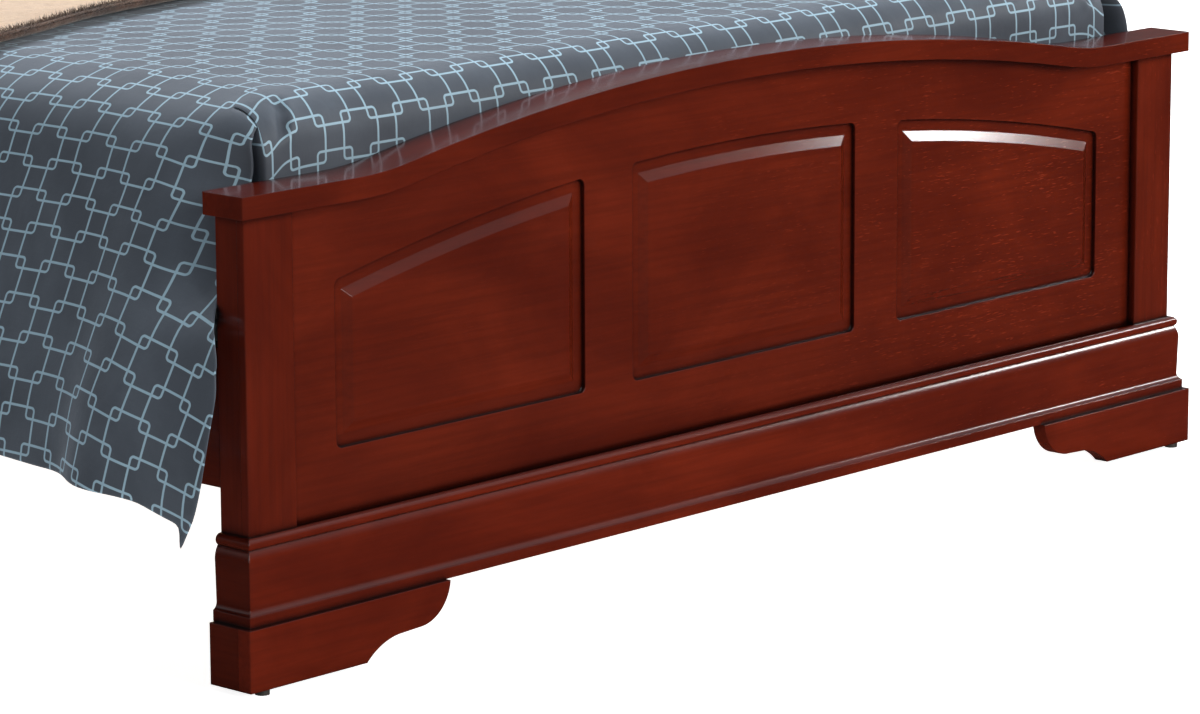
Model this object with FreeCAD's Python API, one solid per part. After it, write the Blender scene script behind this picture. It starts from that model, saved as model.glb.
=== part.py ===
import FreeCAD, Part
import math
import os

# Panel bed, queen size, dressed with a mattress, a coverlet and a throw.
# Millimetres. X runs across the bed, +Y from the footboard to the headboard, +Z up.
# The origin is on the floor under the middle of the whole bed.

V = FreeCAD.Vector
ACROSS = V(1, 0, 0)
ALONG = V(0, 1, 0)
UP = V(0, 0, 1)
SIDES = (("left", -1), ("right", 1))

flatness = 1e-5

# ---- driving dimensions: mattress and deck ----
mattress_width = 1524.0
mattress_length = 2032.0
mattress_height = 203.0
mattress_corner = 70.0
mattress_top_edge = 80.0
mattress_low_edge = 13.0
mattress_crown_start = 457.0
mattress_crown = 8.0
mattress_side_draw = 5.0
box_spring_height = 128.0
box_spring_corner = 45.0
soft_gap = 0.3

# ---- driving dimensions: the two end boards ----
mattress_side_room = 12.0
mattress_end_room = 51.0
post_face = 70.0
post_depth = 43.0
pilaster_thickness = 10.7
panel_thickness = 18.0
tongue_length = 8.0
tongue_thickness = 6.0
tongue_clearance = 0.2
edge_ease = 1.6
footboard_end_height = 528.0
headboard_end_height = 1132.0
footboard_field_bottom = 236.0
headboard_field_bottom = 742.0
headboard_panel_bottom = 292.0
lower_rail_height = 118.0
lower_rail_thickness = 22.0
bottom_rail_height = 170.0

# ---- driving dimensions: serpentine cap ----
cap_thickness = 24.0
cap_front_overhang = 15.0
cap_side_overhang = 15.0
cap_back_overhang = 2.5
arch_radius = 3100.0
arch_rise = 59.5
shoulder_radius = 426.0

# ---- driving dimensions: three raised fields ----
field_count = 3
field_side_margin = 69.4
field_spacing = 78.6
field_top_drop = 97.5
recess_depth = 5.0
recess_corner = 8.0
recess_margin = 14.0
bevel_width = 12.0

# ---- driving dimensions: plinth moulding and bracket feet ----
glide_height = 6.0
glide_radius = 8.0
glide_inset = 25.0
foot_height = 67.0
foot_projection = 21.0
bracket_thickness = 18.5
bracket_floor_length = 169.5
bracket_step = 226.0
bracket_step_height = 22.8
bracket_cove_radius = 80.0
bracket_scroll_radius = 48.0
bracket_scroll_centre = 250.0
plinth_height = 93.0
plinth_return_setback = 1.4
fillet_projection = 14.3
fillet_height = 12.0
board_low_projection = 9.1
board_low_height = 20.0
board_top_projection = 10.2
board_top_height = 63.0
neck_projection = 5.8
neck_height = 80.8
bead_projection = 8.8
bead_back_projection = 2.2
glue_block_length = 120.0
glue_block_height = 26.0

# ---- driving dimensions: side rails, cleats, slats ----
rail_thickness = 22.0
rail_height = 150.0
rail_bottom = 212.5
rail_setback = 1.0
cleat_width = 22.0
cleat_height = 24.0
cleat_lift = 4.0
cleat_end_gap = 45.0
slat_count = 11
slat_width = 68.0
slat_thickness = 18.0
slat_end_gap = 3.0
slat_edge_inset = 30.0

# ---- driving dimensions: centre support ----
beam_width = 45.0
beam_height = 58.0
beam_end_gap = 1.0
hanger_thickness = 3.0
hanger_depth = 40.0
hanger_cheek = 46.0
hanger_back_height = 88.0
hanger_back_width = 74.0
hanger_clearance = 0.2
leg_count = 3
leg_width = 42.0
leg_taper_height = 90.0
leg_foot_width = 32.0
leveller_pad_radius = 15.0
leveller_pad_height = 7.0
leveller_pad_rim = 4.9
leveller_pad_crest_radius = 12.0
leveller_stem_radius = 4.0
leveller_stem_length = 46.0
leveller_travel = 12.0
leveller_show = 11.0
insert_radius = 6.5
insert_length = 16.0
running_clearance = 0.06
turned_sides = 16
bore_end_room = 2.0

# ---- driving dimensions: bed-rail hooks and screws ----
plate_thickness = 2.5
plate_width = 18.0
plate_height = 132.0
hook_spacing = 62.0
hook_thickness = 3.0
hook_neck_height = 20.0
hook_lip_drop = 7.0
hook_lip_depth = 4.0
hook_clearance = 0.2
slot_height = 28.0
slot_width = 4.0
pocket_width = 7.0
pocket_depth = 8.0
screw_radius = 1.8
screw_head_radius = 3.6
screw_head_depth = 1.9
screw_length = 17.0
screw_clearance = 0.05
screw_sides = 8
plate_screw_spacing = 121.0
slat_screw_length = 32.0
cleat_screw_length = 36.0
cleat_screw_count = 6
hanger_screw_spacing = 60.0

# ---- driving dimensions: coverlet and throw ----
cloth_thickness = 8.0
cloth_side_clearance = 26.0
cloth_rail_height = 10.0
cloth_foot_clearance = 2.5
cloth_shoulder_out = 9.0
shoulder_bend = 100.0
foot_bend = 64.0
bend_steps = 4
hip_share = 0.5
tuck_bottom = 318.0
tuck_half_width = 700.0
coverlet_head_gap = 6.0
drop_corner_height = 352.0
drop_tip_height = 150.0
drop_tip_distance = 48.0
drop_run_height = 226.0
drop_rise_length = 75.0
drop_lean = 0.4
drop_turn_in = 60.0
drop_turn_length = 70.0
drop_fold = 14.0
drop_fold_length = 560.0
hem_wave = 5.0
hem_wave_length = 603.0
right_drop_phase = 1.7
throw_thickness = 12.0
throw_drop = 288.0
throw_depth = 1016.0
throw_front = 716.0
throw_turn_degrees = 12.6
throw_flare = 74.0
throw_hip_flare = 7.8

# ---- heights and lines that follow from them ----
posts_width = mattress_width + 2 * (mattress_side_room + rail_thickness + rail_setback)
rail_length = mattress_length + mattress_end_room
post_out = posts_width / 2
post_in = post_out - post_face
fields_width = 2 * (post_in - field_side_margin) - (field_count - 1) * field_spacing
field_width = fields_width / field_count
feet_width = posts_width + 2 * foot_projection
foot_out = feet_width / 2
core_depth = post_depth - pilaster_thickness
foot_top = glide_height + foot_height
plinth_top = foot_top + plinth_height
overall_length = foot_projection + post_depth + rail_length + post_depth + cap_back_overhang
foot_face = foot_projection - overall_length / 2
foot_back = foot_face + post_depth
head_face = foot_back + rail_length
rail_out = post_out - rail_setback
rail_in = rail_out - rail_thickness
rail_top = rail_bottom + rail_height
rail_middle_x = rail_out - rail_thickness / 2
rail_middle_z = rail_bottom + rail_height / 2
cleat_bottom = rail_bottom + cleat_lift
slat_bottom = cleat_bottom + cleat_height
slat_top = slat_bottom + slat_thickness
beam_bottom = slat_bottom - beam_height
leg_bottom = leveller_show
stem_bore_radius = leveller_stem_radius + running_clearance
box_spring_bottom = slat_top + soft_gap
mattress_bottom = box_spring_bottom + box_spring_height + soft_gap
mattress_top = mattress_bottom + mattress_height
cloth_inner_top = mattress_top + mattress_crown + soft_gap
cloth_outer_top = cloth_inner_top + cloth_thickness
tuck_front = foot_back + cap_back_overhang + cloth_foot_clearance
mattress_foot = tuck_front + cloth_thickness + soft_gap
mattress_head = mattress_foot + mattress_length


# ---------------------------------------------------------------- small helpers
def box(x0, x1, y0, y1, z0, z1):
    """Block between two corners."""
    return Part.makeBox(x1 - x0, y1 - y0, z1 - z0, V(x0, y0, z0))


def side_box(side, x0, x1, y0, y1, z0, z1):
    """Block whose x values are measured outwards on the left (-1) or right (+1) side."""
    low, high = sorted((side * x0, side * x1))
    return box(low, high, y0, y1, z0, z1)


def line(a, b):
    return Part.makeLine(a, b)


def arc(a, middle, b):
    return Part.Arc(a, middle, b).toShape()


def plate(edges, direction):
    """Flat outline pushed out along a direction."""
    return Part.Face(Part.Wire(edges)).extrude(direction)


def edges_along(shape, direction):
    """Straight edges of a shape that run along a direction."""
    found = []
    for edge in shape.Edges:
        if len(edge.Vertexes) == 2:
            run = edge.Vertexes[1].Point - edge.Vertexes[0].Point
            if run.cross(direction).Length < 1e-6 * run.Length:
                found.append(edge)
    return found


def mirrored(shape):
    """The same piece on the other side of the bed."""
    return shape.mirror(V(0, 0, 0), ACROSS)


def on_side(right_piece, side):
    """A piece drawn on the right, or its mirror image on the left."""
    return right_piece if side > 0 else mirrored(right_piece)


def round_outline(radius, centre, direction, sides):
    """Closed outline of a round piece, square to a direction, with a set number of flat sides."""
    reference = UP if abs(direction.z) < 0.5 else ACROSS
    first = direction.cross(reference).normalize()
    second = direction.cross(first).normalize()
    corners = []
    for number in range(sides):
        angle = 2 * math.pi * (number + 0.5) / sides
        corners.append(centre + first * (radius * math.cos(angle)) + second * (radius * math.sin(angle)))
    return Part.makePolygon(corners + corners[:1])


def rod(radius, centre, run, sides):
    """Straight round rod that starts at centre and runs along a vector."""
    start = round_outline(radius, centre, V(run).normalize(), sides)
    return Part.Face(start).extrude(run)


def plain_loft(rings):
    """Solid through straight-sided rings with plain faces: a twisted side becomes two triangles."""
    faces = []
    for face in Part.makeLoft(rings, True, True).Faces:
        corners = [vertex.Point for vertex in face.OuterWire.OrderedVertexes]
        outlines = [corners]
        if len(corners) == 4:
            normal = (corners[1] - corners[0]).cross(corners[2] - corners[0])
            if abs(normal.dot(corners[3] - corners[0])) > flatness * normal.Length:
                outlines = [[corners[0], corners[1], corners[2]], [corners[0], corners[2], corners[3]]]
        for outline in outlines:
            faces.append(Part.Face(Part.makePolygon(outline + outline[:1])))
    return Part.Solid(Part.Shell(faces))


def screw(head, direction, length, gap=0.0):
    """Countersunk screw whose head is flush at head; with a gap it is the hole for it."""
    neck = head + direction * screw_head_depth
    rings = [round_outline(screw_head_radius + gap, head, direction, screw_sides),
             round_outline(screw_radius + gap, neck, direction, screw_sides)]
    shank = rod(screw_radius + gap, neck, direction * (length - screw_head_depth + gap), screw_sides)
    return plain_loft(rings).fuse(shank)


def drilled(shape, heads, direction, length):
    """A piece with the holes of its screws."""
    for head in heads:
        shape = shape.cut(screw(head, direction, length, screw_clearance))
    return shape


def group(solids):
    return Part.makeCompound(solids)


# ---------------------------------------------------------------- serpentine outline
def arch_centre_height(end_top):
    return end_top + arch_rise - arch_radius


def serpentine(drop, end_top, y):
    """The cap's top line from the left flat over the arch to the right flat, moved down by drop."""
    reach = arch_radius + shoulder_radius
    flat_start = math.sqrt(reach ** 2 - (reach - arch_rise) ** 2)
    lean = math.asin(flat_start / reach)
    centre_z = arch_centre_height(end_top)
    shoulder_z = end_top + shoulder_radius
    radius = arch_radius - drop
    bend = shoulder_radius + drop

    def shoulder(side, angle):
        return V(side * (flat_start - bend * math.sin(angle)), y, shoulder_z - bend * math.cos(angle))

    crown = V(0, y, centre_z + radius)
    left_arc = arc(shoulder(-1, 0), shoulder(-1, lean / 2), shoulder(-1, lean))
    arch = arc(shoulder(-1, lean), crown, shoulder(1, lean))
    right_arc = arc(shoulder(1, lean), shoulder(1, lean / 2), shoulder(1, 0))
    return flat_start, [left_arc, arch, right_arc]


def serpentine_outline(drop, end_top, half_width, y):
    """Serpentine line with its flats, from -half_width to +half_width."""
    flat_start, middle = serpentine(drop, end_top, y)
    z = end_top - drop
    left_flat = line(V(-half_width, y, z), V(-flat_start, y, z))
    right_flat = line(V(flat_start, y, z), V(half_width, y, z))
    return [left_flat] + middle + [right_flat]


# ---------------------------------------------------------------- end boards
def cap(face_y, end_top):
    """Flat-sectioned cap rail that follows the serpentine line, with eased corners."""
    half_width = post_out + cap_side_overhang
    front = face_y - cap_front_overhang
    depth = cap_front_overhang + post_depth + cap_back_overhang
    top = serpentine_outline(0.0, end_top, half_width, front)
    under = serpentine_outline(cap_thickness, end_top, half_width, front)
    low_z = end_top - cap_thickness
    ends = [line(V(side * half_width, front, low_z), V(side * half_width, front, end_top))
            for _, side in SIDES]
    rail = plate(Part.__sortEdges__(top + under + ends), V(0, depth, 0))
    return rail.makeFillet(edge_ease, edges_along(rail, UP))


def field_outline(left, right, bottom, centre_z, top_radius, inset, y):
    """Outline of a raised field, inset all round, whose top follows the arch."""
    x0 = left + inset
    x1 = right - inset
    z0 = bottom + inset
    radius = top_radius - inset

    def top(x):
        return V(x, y, centre_z + math.sqrt(radius ** 2 - x ** 2))

    low_left = V(x0, y, z0)
    low_right = V(x1, y, z0)
    return [line(low_left, low_right), line(low_right, top(x1)),
            arc(top(x1), top((x0 + x1) / 2), top(x0)), line(top(x0), low_left)]


def field_groove(left, right, bottom, centre_z, top_radius, face):
    """The routed space round one raised field: a flat channel and a bevel up to the field."""
    shape = (left, right, bottom, centre_z, top_radius)
    recess = plate(field_outline(*shape, 0.0, face), V(0, recess_depth, 0))
    recess = recess.makeFillet(recess_corner, edges_along(recess, ALONG))
    foot = Part.Wire(field_outline(*shape, recess_margin, face + recess_depth))
    crest = Part.Wire(field_outline(*shape, recess_margin + bevel_width, face))
    field = Part.makeLoft([foot, crest], True, True)
    return recess.cut(field)


def panel(face_y, end_top, bottom, field_bottom):
    """Board between the posts, tongued into them, with raised fields cut from the solid."""
    face = face_y + pilaster_thickness
    low_left = V(-post_in, face, bottom)
    low_right = V(post_in, face, bottom)
    top = serpentine_outline(cap_thickness, end_top, post_in, face)
    shoulder_z = end_top - cap_thickness
    sides = [line(low_left, low_right), line(low_left, V(-post_in, face, shoulder_z)),
             line(low_right, V(post_in, face, shoulder_z))]
    board = plate(Part.__sortEdges__(top + sides), V(0, panel_thickness, 0))
    tongue_front = face + (panel_thickness - tongue_thickness) / 2
    for _, side in SIDES:
        board = board.fuse(side_box(side, post_in, post_in + tongue_length, tongue_front,
                                    tongue_front + tongue_thickness, bottom, shoulder_z))
    centre_z = arch_centre_height(end_top)
    pitch = field_width + field_spacing
    first = -pitch * (field_count - 1) / 2
    for number in range(field_count):
        middle = first + number * pitch
        groove = field_groove(middle - field_width / 2, middle + field_width / 2, field_bottom,
                              centre_z, arch_radius - field_top_drop, face)
        board = board.cut(groove)
    return board.removeSplitter()


def strike_slots(side):
    """Bottom heights of the two hook slots of a rail joint."""
    first = rail_middle_z - hook_spacing / 2 - slot_height / 2
    return [first, first + hook_spacing]


def rail_joint_cutter(side, face, inward):
    """Mortise for a strike plate and the pockets for its hooks; inward is +1 or -1 along Y."""
    x0 = rail_middle_x - plate_width / 2
    low_z = rail_middle_z - plate_height / 2
    y0, y1 = sorted((face, face + inward * plate_thickness))
    cutter = side_box(side, x0, x0 + plate_width, y0, y1, low_z, low_z + plate_height)
    y0, y1 = sorted((face, face + inward * (plate_thickness + pocket_depth)))
    for slot in strike_slots(side):
        pocket = side_box(side, rail_middle_x - pocket_width / 2, rail_middle_x + pocket_width / 2,
                          y0, y1, slot - hook_lip_drop - 1, slot + slot_height + 1)
        cutter = cutter.fuse(pocket)
    return cutter


def plate_screw_heads(side, y):
    return [V(side * rail_middle_x, y, rail_middle_z + step * plate_screw_spacing / 2)
            for step in (-1, 1)]


def post(side, face_y, end_top, panel_bottom, joint_face, inward):
    """Core of a post, from its glide to the cap, grooved for the panel and cut for the rail joint."""
    core = side_box(side, post_in, post_out, face_y + pilaster_thickness, face_y + post_depth,
                    glide_height, end_top - cap_thickness)
    groove_width = tongue_thickness + 2 * tongue_clearance
    groove_front = face_y + pilaster_thickness + (panel_thickness - groove_width) / 2
    groove = side_box(side, post_in, post_in + tongue_length + tongue_clearance, groove_front,
                      groove_front + groove_width, panel_bottom - tongue_clearance,
                      end_top - cap_thickness)
    core = core.cut(groove)
    outer = [e for e in edges_along(core, UP)
             if abs(abs(e.Vertexes[0].X) - post_out) < 1e-6 and e.Vertexes[0].Y > face_y + post_depth - 1e-6]
    core = core.makeFillet(edge_ease, outer)
    core = core.cut(rail_joint_cutter(side, joint_face, inward))
    direction = V(0, inward, 0)
    return drilled(core, plate_screw_heads(side, joint_face), direction, screw_length)


def pilaster(side, face_y, end_top, bottom):
    """Flat strip planted on the front of a post, with its front edges eased."""
    strip = side_box(side, post_in, post_out, face_y, face_y + pilaster_thickness, bottom,
                     end_top - cap_thickness)
    front = [e for e in edges_along(strip, UP) if e.Vertexes[0].Y < face_y + 1e-6]
    return strip.makeFillet(edge_ease, front)


def glides(face_y, places):
    """Round plastic glides under an end board's feet."""
    return [rod(glide_radius, V(side * x, face_y + y, 0), V(0, 0, glide_height), turned_sides)
            for _, side in SIDES for x, y in places]


# ---------------------------------------------------------------- plinth and feet
def plinth_profile(bottom):
    """Moulding section as (projection, height) edges, drawn in the YZ plane with its back at y = 0."""
    def at(projection, height):
        return V(0, -projection, bottom + height)

    cove_middle = at(board_low_projection + (fillet_projection - board_low_projection) * 0.32,
                     fillet_height + (board_low_height - fillet_height) * 0.36)
    ogee_middle = at(board_top_projection - (board_top_projection - neck_projection) * 0.22,
                     board_top_height + (neck_height - board_top_height) * 0.6)
    bead_middle = at(bead_projection, (neck_height + plinth_height) / 2)
    points = [at(0, 0), at(fillet_projection, 0), at(fillet_projection, fillet_height),
              at(board_low_projection, board_low_height), at(board_top_projection, board_top_height),
              at(neck_projection, neck_height), at(bead_back_projection, plinth_height),
              at(0, plinth_height)]
    return [line(points[0], points[1]), line(points[1], points[2]),
            arc(points[2], cove_middle, points[3]), line(points[3], points[4]),
            arc(points[4], ogee_middle, points[5]), arc(points[5], bead_middle, points[6]),
            line(points[6], points[7]), line(points[7], points[0])]


def mitre_wedge(keep_front):
    """Half space on one side of the right corner's 45 degree mitre plane, as a tall prism."""
    corner = V(post_out, foot_face, 0)
    size = 4 * foot_projection
    outer = corner + V(size, -size, 0)
    behind = corner + V(-size, size, 0)
    far = corner + (V(-3 * posts_width, -size, 0) if keep_front else V(size, 3 * size, 0))
    outline = [line(outer, behind), line(behind, far), line(far, outer)]
    return plate(outline, V(0, 0, footboard_end_height))


def plinth_front():
    section = Part.Wire(plinth_profile(foot_top))
    section.translate(V(-foot_out, foot_face, 0))
    bar = Part.Face(section).extrude(V(feet_width, 0, 0))
    for _, side in SIDES:
        bar = bar.cut(on_side(mitre_wedge(False), side))
    return bar


def plinth_return(side):
    """Short moulding along the outside of a post, mitred to the front one."""
    section = Part.Wire(plinth_profile(foot_top))
    section.rotate(V(0, 0, 0), UP, 90)
    section.translate(V(post_out, foot_face - foot_projection, 0))
    length = foot_projection + post_depth - plinth_return_setback
    bar = Part.Face(section).extrude(V(0, length, 0))
    return on_side(bar.cut(mitre_wedge(True)), side)


def bracket_front(side):
    """Scrolled bracket board: a cove rises from the floor end to a step, then a round scroll."""
    front = foot_face - foot_projection

    def at(inset, height):
        return V(foot_out - inset, front, glide_height + height)

    cove_z = bracket_step_height - bracket_cove_radius
    floor_inset = bracket_step - math.sqrt(bracket_cove_radius ** 2 - cove_z ** 2)
    half_turn = math.asin((bracket_step - floor_inset) / bracket_cove_radius) / 2
    cove_middle = at(bracket_step - bracket_cove_radius * math.sin(half_turn),
                     cove_z + bracket_cove_radius * math.cos(half_turn))
    scroll_z = bracket_step_height + 1.2 + bracket_scroll_radius
    rise = foot_height - scroll_z
    scroll_end = bracket_scroll_centre + math.sqrt(bracket_scroll_radius ** 2 - rise ** 2)
    turn = math.radians(50)
    scroll_middle = at(bracket_scroll_centre + bracket_scroll_radius * math.sin(turn),
                       scroll_z - bracket_scroll_radius * math.cos(turn))
    low_scroll = at(bracket_scroll_centre, scroll_z - bracket_scroll_radius)
    outline = [line(at(0, 0), at(floor_inset, 0)),
               arc(at(floor_inset, 0), cove_middle, at(bracket_step, bracket_step_height)),
               line(at(bracket_step, bracket_step_height), low_scroll),
               arc(low_scroll, scroll_middle, at(scroll_end, foot_height)),
               line(at(scroll_end, foot_height), at(0, foot_height)),
               line(at(0, foot_height), at(0, 0))]
    board = plate(outline, V(0, bracket_thickness, 0))
    corner = [e for e in edges_along(board, UP)
              if e.Vertexes[0].X > foot_out - 1e-6 and e.Vertexes[0].Y < front + 1e-6]
    return on_side(board.makeFillet(edge_ease, corner), side)


def bracket_side(side):
    """Return board of a foot, behind the scrolled front."""
    front = foot_face - foot_projection + bracket_thickness
    return side_box(side, post_out, foot_out, front, foot_back - plinth_return_setback * 2,
                    glide_height, foot_top)


def glue_blocks():
    """Blocks that hold the bracket boards to the posts and to the plinth's backing."""
    front = foot_face - foot_projection + bracket_thickness
    back = foot_face + pilaster_thickness
    inner = foot_out - bracket_scroll_centre
    blocks = []
    for _, side in SIDES:
        blocks.append(side_box(side, post_in, post_out, front, back, glide_height * 2, foot_top))
        blocks.append(side_box(side, inner, inner + glue_block_length, front, back,
                               foot_top - glue_block_height, foot_top))
    return group(blocks)


# ---------------------------------------------------------------- side rails and their joints
def rail_ends():
    """Each rail end: its height along Y and the way from the rail into the post."""
    return ((foot_back, -1), (head_face, 1))


def side_rail(side):
    rail = side_box(side, rail_in, rail_out, foot_back, head_face, rail_bottom, rail_top)
    rail = rail.makeFillet(edge_ease, [e for e in edges_along(rail, ALONG)
                                       if abs(abs(e.Vertexes[0].X) - rail_out) < 1e-6])
    x0 = rail_middle_x - plate_width / 2
    low_z = rail_middle_z - plate_height / 2
    for y, into_post in rail_ends():
        y0, y1 = sorted((y, y - into_post * plate_thickness))
        rail = rail.cut(side_box(side, x0, x0 + plate_width, y0, y1, low_z, low_z + plate_height))
        rail = drilled(rail, plate_screw_heads(side, y), V(0, -into_post, 0), screw_length)
    return drilled(rail, cleat_screw_heads(side), V(side, 0, 0), cleat_screw_length)


def hook_plate(side, y, into_post):
    """Steel plate let into a rail's end, with two hooks that drop behind the strike plate."""
    x0 = rail_middle_x - plate_width / 2
    low_z = rail_middle_z - plate_height / 2
    y0, y1 = sorted((y, y - into_post * plate_thickness))
    body = side_box(side, x0, x0 + plate_width, y0, y1, low_z, low_z + plate_height)
    body = drilled(body, plate_screw_heads(side, y), V(0, -into_post, 0), screw_length)
    behind = plate_thickness + hook_clearance
    for slot in strike_slots(side):
        outline = [(0, hook_clearance), (behind, hook_clearance), (behind, -hook_lip_drop),
                   (behind + hook_lip_depth, -hook_lip_drop),
                   (behind + hook_lip_depth, hook_neck_height), (0, hook_neck_height)]
        x = side * rail_middle_x - hook_thickness / 2
        points = [V(x, y + into_post * reach, slot + height) for reach, height in outline]
        body = body.fuse(Part.Face(Part.makePolygon(points + points[:1])).extrude(V(hook_thickness, 0, 0)))
    return body


def strike_plate(side, y, into_post):
    """Slotted steel plate let into a post."""
    x0 = rail_middle_x - plate_width / 2
    low_z = rail_middle_z - plate_height / 2
    y0, y1 = sorted((y, y + into_post * plate_thickness))
    body = side_box(side, x0, x0 + plate_width, y0, y1, low_z, low_z + plate_height)
    for slot in strike_slots(side):
        body = body.cut(side_box(side, rail_middle_x - slot_width / 2, rail_middle_x + slot_width / 2,
                                 y0, y1, slot, slot + slot_height))
    return drilled(body, plate_screw_heads(side, y), V(0, into_post, 0), screw_length)


def plate_screws():
    screws = []
    for _, side in SIDES:
        for y, into_post in rail_ends():
            for head in plate_screw_heads(side, y):
                screws.append(screw(head, V(0, into_post, 0), screw_length))
                screws.append(screw(head, V(0, -into_post, 0), screw_length))
    return screws


# ---------------------------------------------------------------- deck
def cleat_span():
    return foot_back + cleat_end_gap, head_face - cleat_end_gap


def cleat_screw_heads(side):
    start, end = cleat_span()
    step = (end - start) / cleat_screw_count
    height = cleat_bottom + cleat_height * 0.42
    return [V(side * (rail_in - cleat_width), start + (number + 0.5) * step, height)
            for number in range(cleat_screw_count)]


def slat_centres():
    start, end = cleat_span()
    first = start + slat_edge_inset + slat_width / 2
    pitch = (end - start - 2 * slat_edge_inset - slat_width) / (slat_count - 1)
    return [first + number * pitch for number in range(slat_count)]


def slat_screw_heads(y):
    reach = rail_in - cleat_width / 2
    return [V(side * reach, y, slat_top) for _, side in SIDES]


def cleat(side):
    start, end = cleat_span()
    strip = side_box(side, rail_in - cleat_width, rail_in, start, end, cleat_bottom, slat_bottom)
    strip = drilled(strip, cleat_screw_heads(side), V(side, 0, 0), cleat_screw_length)
    heads = [head for y in slat_centres() for head in slat_screw_heads(y) if head.x * side > 0]
    return drilled(strip, heads, V(0, 0, -1), slat_screw_length)


def slat(y):
    half_length = rail_in - slat_end_gap
    board = box(-half_length, half_length, y - slat_width / 2, y + slat_width / 2, slat_bottom, slat_top)
    return drilled(board, slat_screw_heads(y), V(0, 0, -1), slat_screw_length)


# ---------------------------------------------------------------- centre support
def hanger_faces():
    """Faces that carry the beam's hangers, and the way from each face to the beam."""
    return ((foot_back, 1), (head_face + pilaster_thickness, -1))


def hanger_screw_heads(y, outward):
    height = beam_bottom - hanger_thickness - hanger_clearance + hanger_back_height - 12
    return [V(step * hanger_screw_spacing / 2, y + outward * hanger_thickness, height) for step in (-1, 1)]


def hanger(y, outward):
    """U-shaped steel hanger: a back plate, a shelf under the beam and a cheek on each side of it."""
    low_z = beam_bottom - hanger_thickness - hanger_clearance
    inner = beam_width / 2 + hanger_clearance
    outer = inner + hanger_thickness
    y0, y1 = sorted((y, y + outward * hanger_thickness))
    back = box(-hanger_back_width / 2, hanger_back_width / 2, y0, y1, low_z, low_z + hanger_back_height)
    y0, y1 = sorted((y, y + outward * hanger_depth))
    tray = box(-outer, outer, y0, y1, low_z, low_z + hanger_cheek)
    tray = tray.cut(box(-inner, inner, y0, y1, low_z + hanger_thickness, low_z + hanger_cheek))
    plate_and_tray = back.fuse(tray).removeSplitter()
    return drilled(plate_and_tray, hanger_screw_heads(y, outward), V(0, -outward, 0), screw_length)


def hanger_screws():
    return [screw(head, V(0, -outward, 0), screw_length)
            for y, outward in hanger_faces() for head in hanger_screw_heads(y, outward)]


def centre_beam():
    (foot_y, _), (head_y, _) = hanger_faces()
    inset = hanger_thickness + beam_end_gap
    return box(-beam_width / 2, beam_width / 2, foot_y + inset, head_y - inset, beam_bottom, slat_bottom)


def leg_centres():
    (foot_y, _), (head_y, _) = hanger_faces()
    pitch = (head_y - foot_y) / (leg_count + 1)
    return [foot_y + (number + 1) * pitch for number in range(leg_count)]


def square(width, y, z):
    half = width / 2
    corners = [V(-half, y - half, z), V(half, y - half, z), V(half, y + half, z), V(-half, y + half, z)]
    return Part.makePolygon(corners + corners[:1])


def centre_leg(y):
    """Square leg under the beam, tapered to its foot and bored for a threaded insert."""
    waist = leg_bottom + leg_taper_height
    shaft = box(-leg_width / 2, leg_width / 2, y - leg_width / 2, y + leg_width / 2, waist, beam_bottom)
    taper = plain_loft([square(leg_foot_width, y, leg_bottom), square(leg_width, y, waist)])
    leg = shaft.fuse(taper)
    foot = V(0, y, leg_bottom)
    leg = leg.cut(rod(insert_radius, foot, V(0, 0, insert_length), turned_sides))
    bore_length = leveller_stem_length + leveller_pad_height - leg_bottom + bore_end_room
    return leg.cut(rod(stem_bore_radius, foot, V(0, 0, bore_length), turned_sides))


def leg_insert(y):
    """Brass sleeve, let into a leg's foot, that the leveller's stem runs in."""
    foot = V(0, y, leg_bottom)
    length = V(0, 0, insert_length)
    sleeve = rod(insert_radius, foot, length, turned_sides)
    return sleeve.cut(rod(stem_bore_radius, foot, length, turned_sides))


def leveller(y):
    """Screw-in foot: a pad with a sloped top, and a stem that runs in the insert."""
    rim = V(0, y, leveller_pad_rim)
    top = V(0, y, leveller_pad_height)
    pad = rod(leveller_pad_radius, V(0, y, 0), V(0, 0, leveller_pad_rim), turned_sides)
    slope = plain_loft([round_outline(leveller_pad_radius, rim, UP, turned_sides),
                        round_outline(leveller_pad_crest_radius, top, UP, turned_sides)])
    stem = rod(leveller_stem_radius, top, V(0, 0, leveller_stem_length), turned_sides)
    return pad.fuse([slope, stem]).removeSplitter()


# ---------------------------------------------------------------- bedding
def box_spring():
    half = mattress_width / 2
    body = box(-half, half, mattress_foot, mattress_head, box_spring_bottom,
               box_spring_bottom + box_spring_height)
    return body.makeFillet(box_spring_corner, edges_along(body, UP))


def rounded_ring(half_x, half_y, middle_y, z):
    """Rectangle whose corners are rounded off by four short sides each."""
    points = []
    for turn, (sign_x, sign_y) in enumerate(((1, -1), (1, 1), (-1, 1), (-1, -1))):
        centre = V(sign_x * (half_x - mattress_corner), middle_y + sign_y * (half_y - mattress_corner), z)
        for step in range(5):
            angle = math.pi / 2 * (turn - 1 + step / 4)
            points.append(centre + V(mattress_corner * math.cos(angle), mattress_corner * math.sin(angle), 0))
    return Part.makePolygon(points + points[:1])


def bend(radius):
    """A quarter turn from a side to the top: (how far in, as a negative number, how far down)."""
    turns = [math.pi / 2 * number / bend_steps for number in range(bend_steps + 1)]
    return [(radius * (math.cos(turn) - 1), radius * (1 - math.sin(turn))) for turn in turns]


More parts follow.
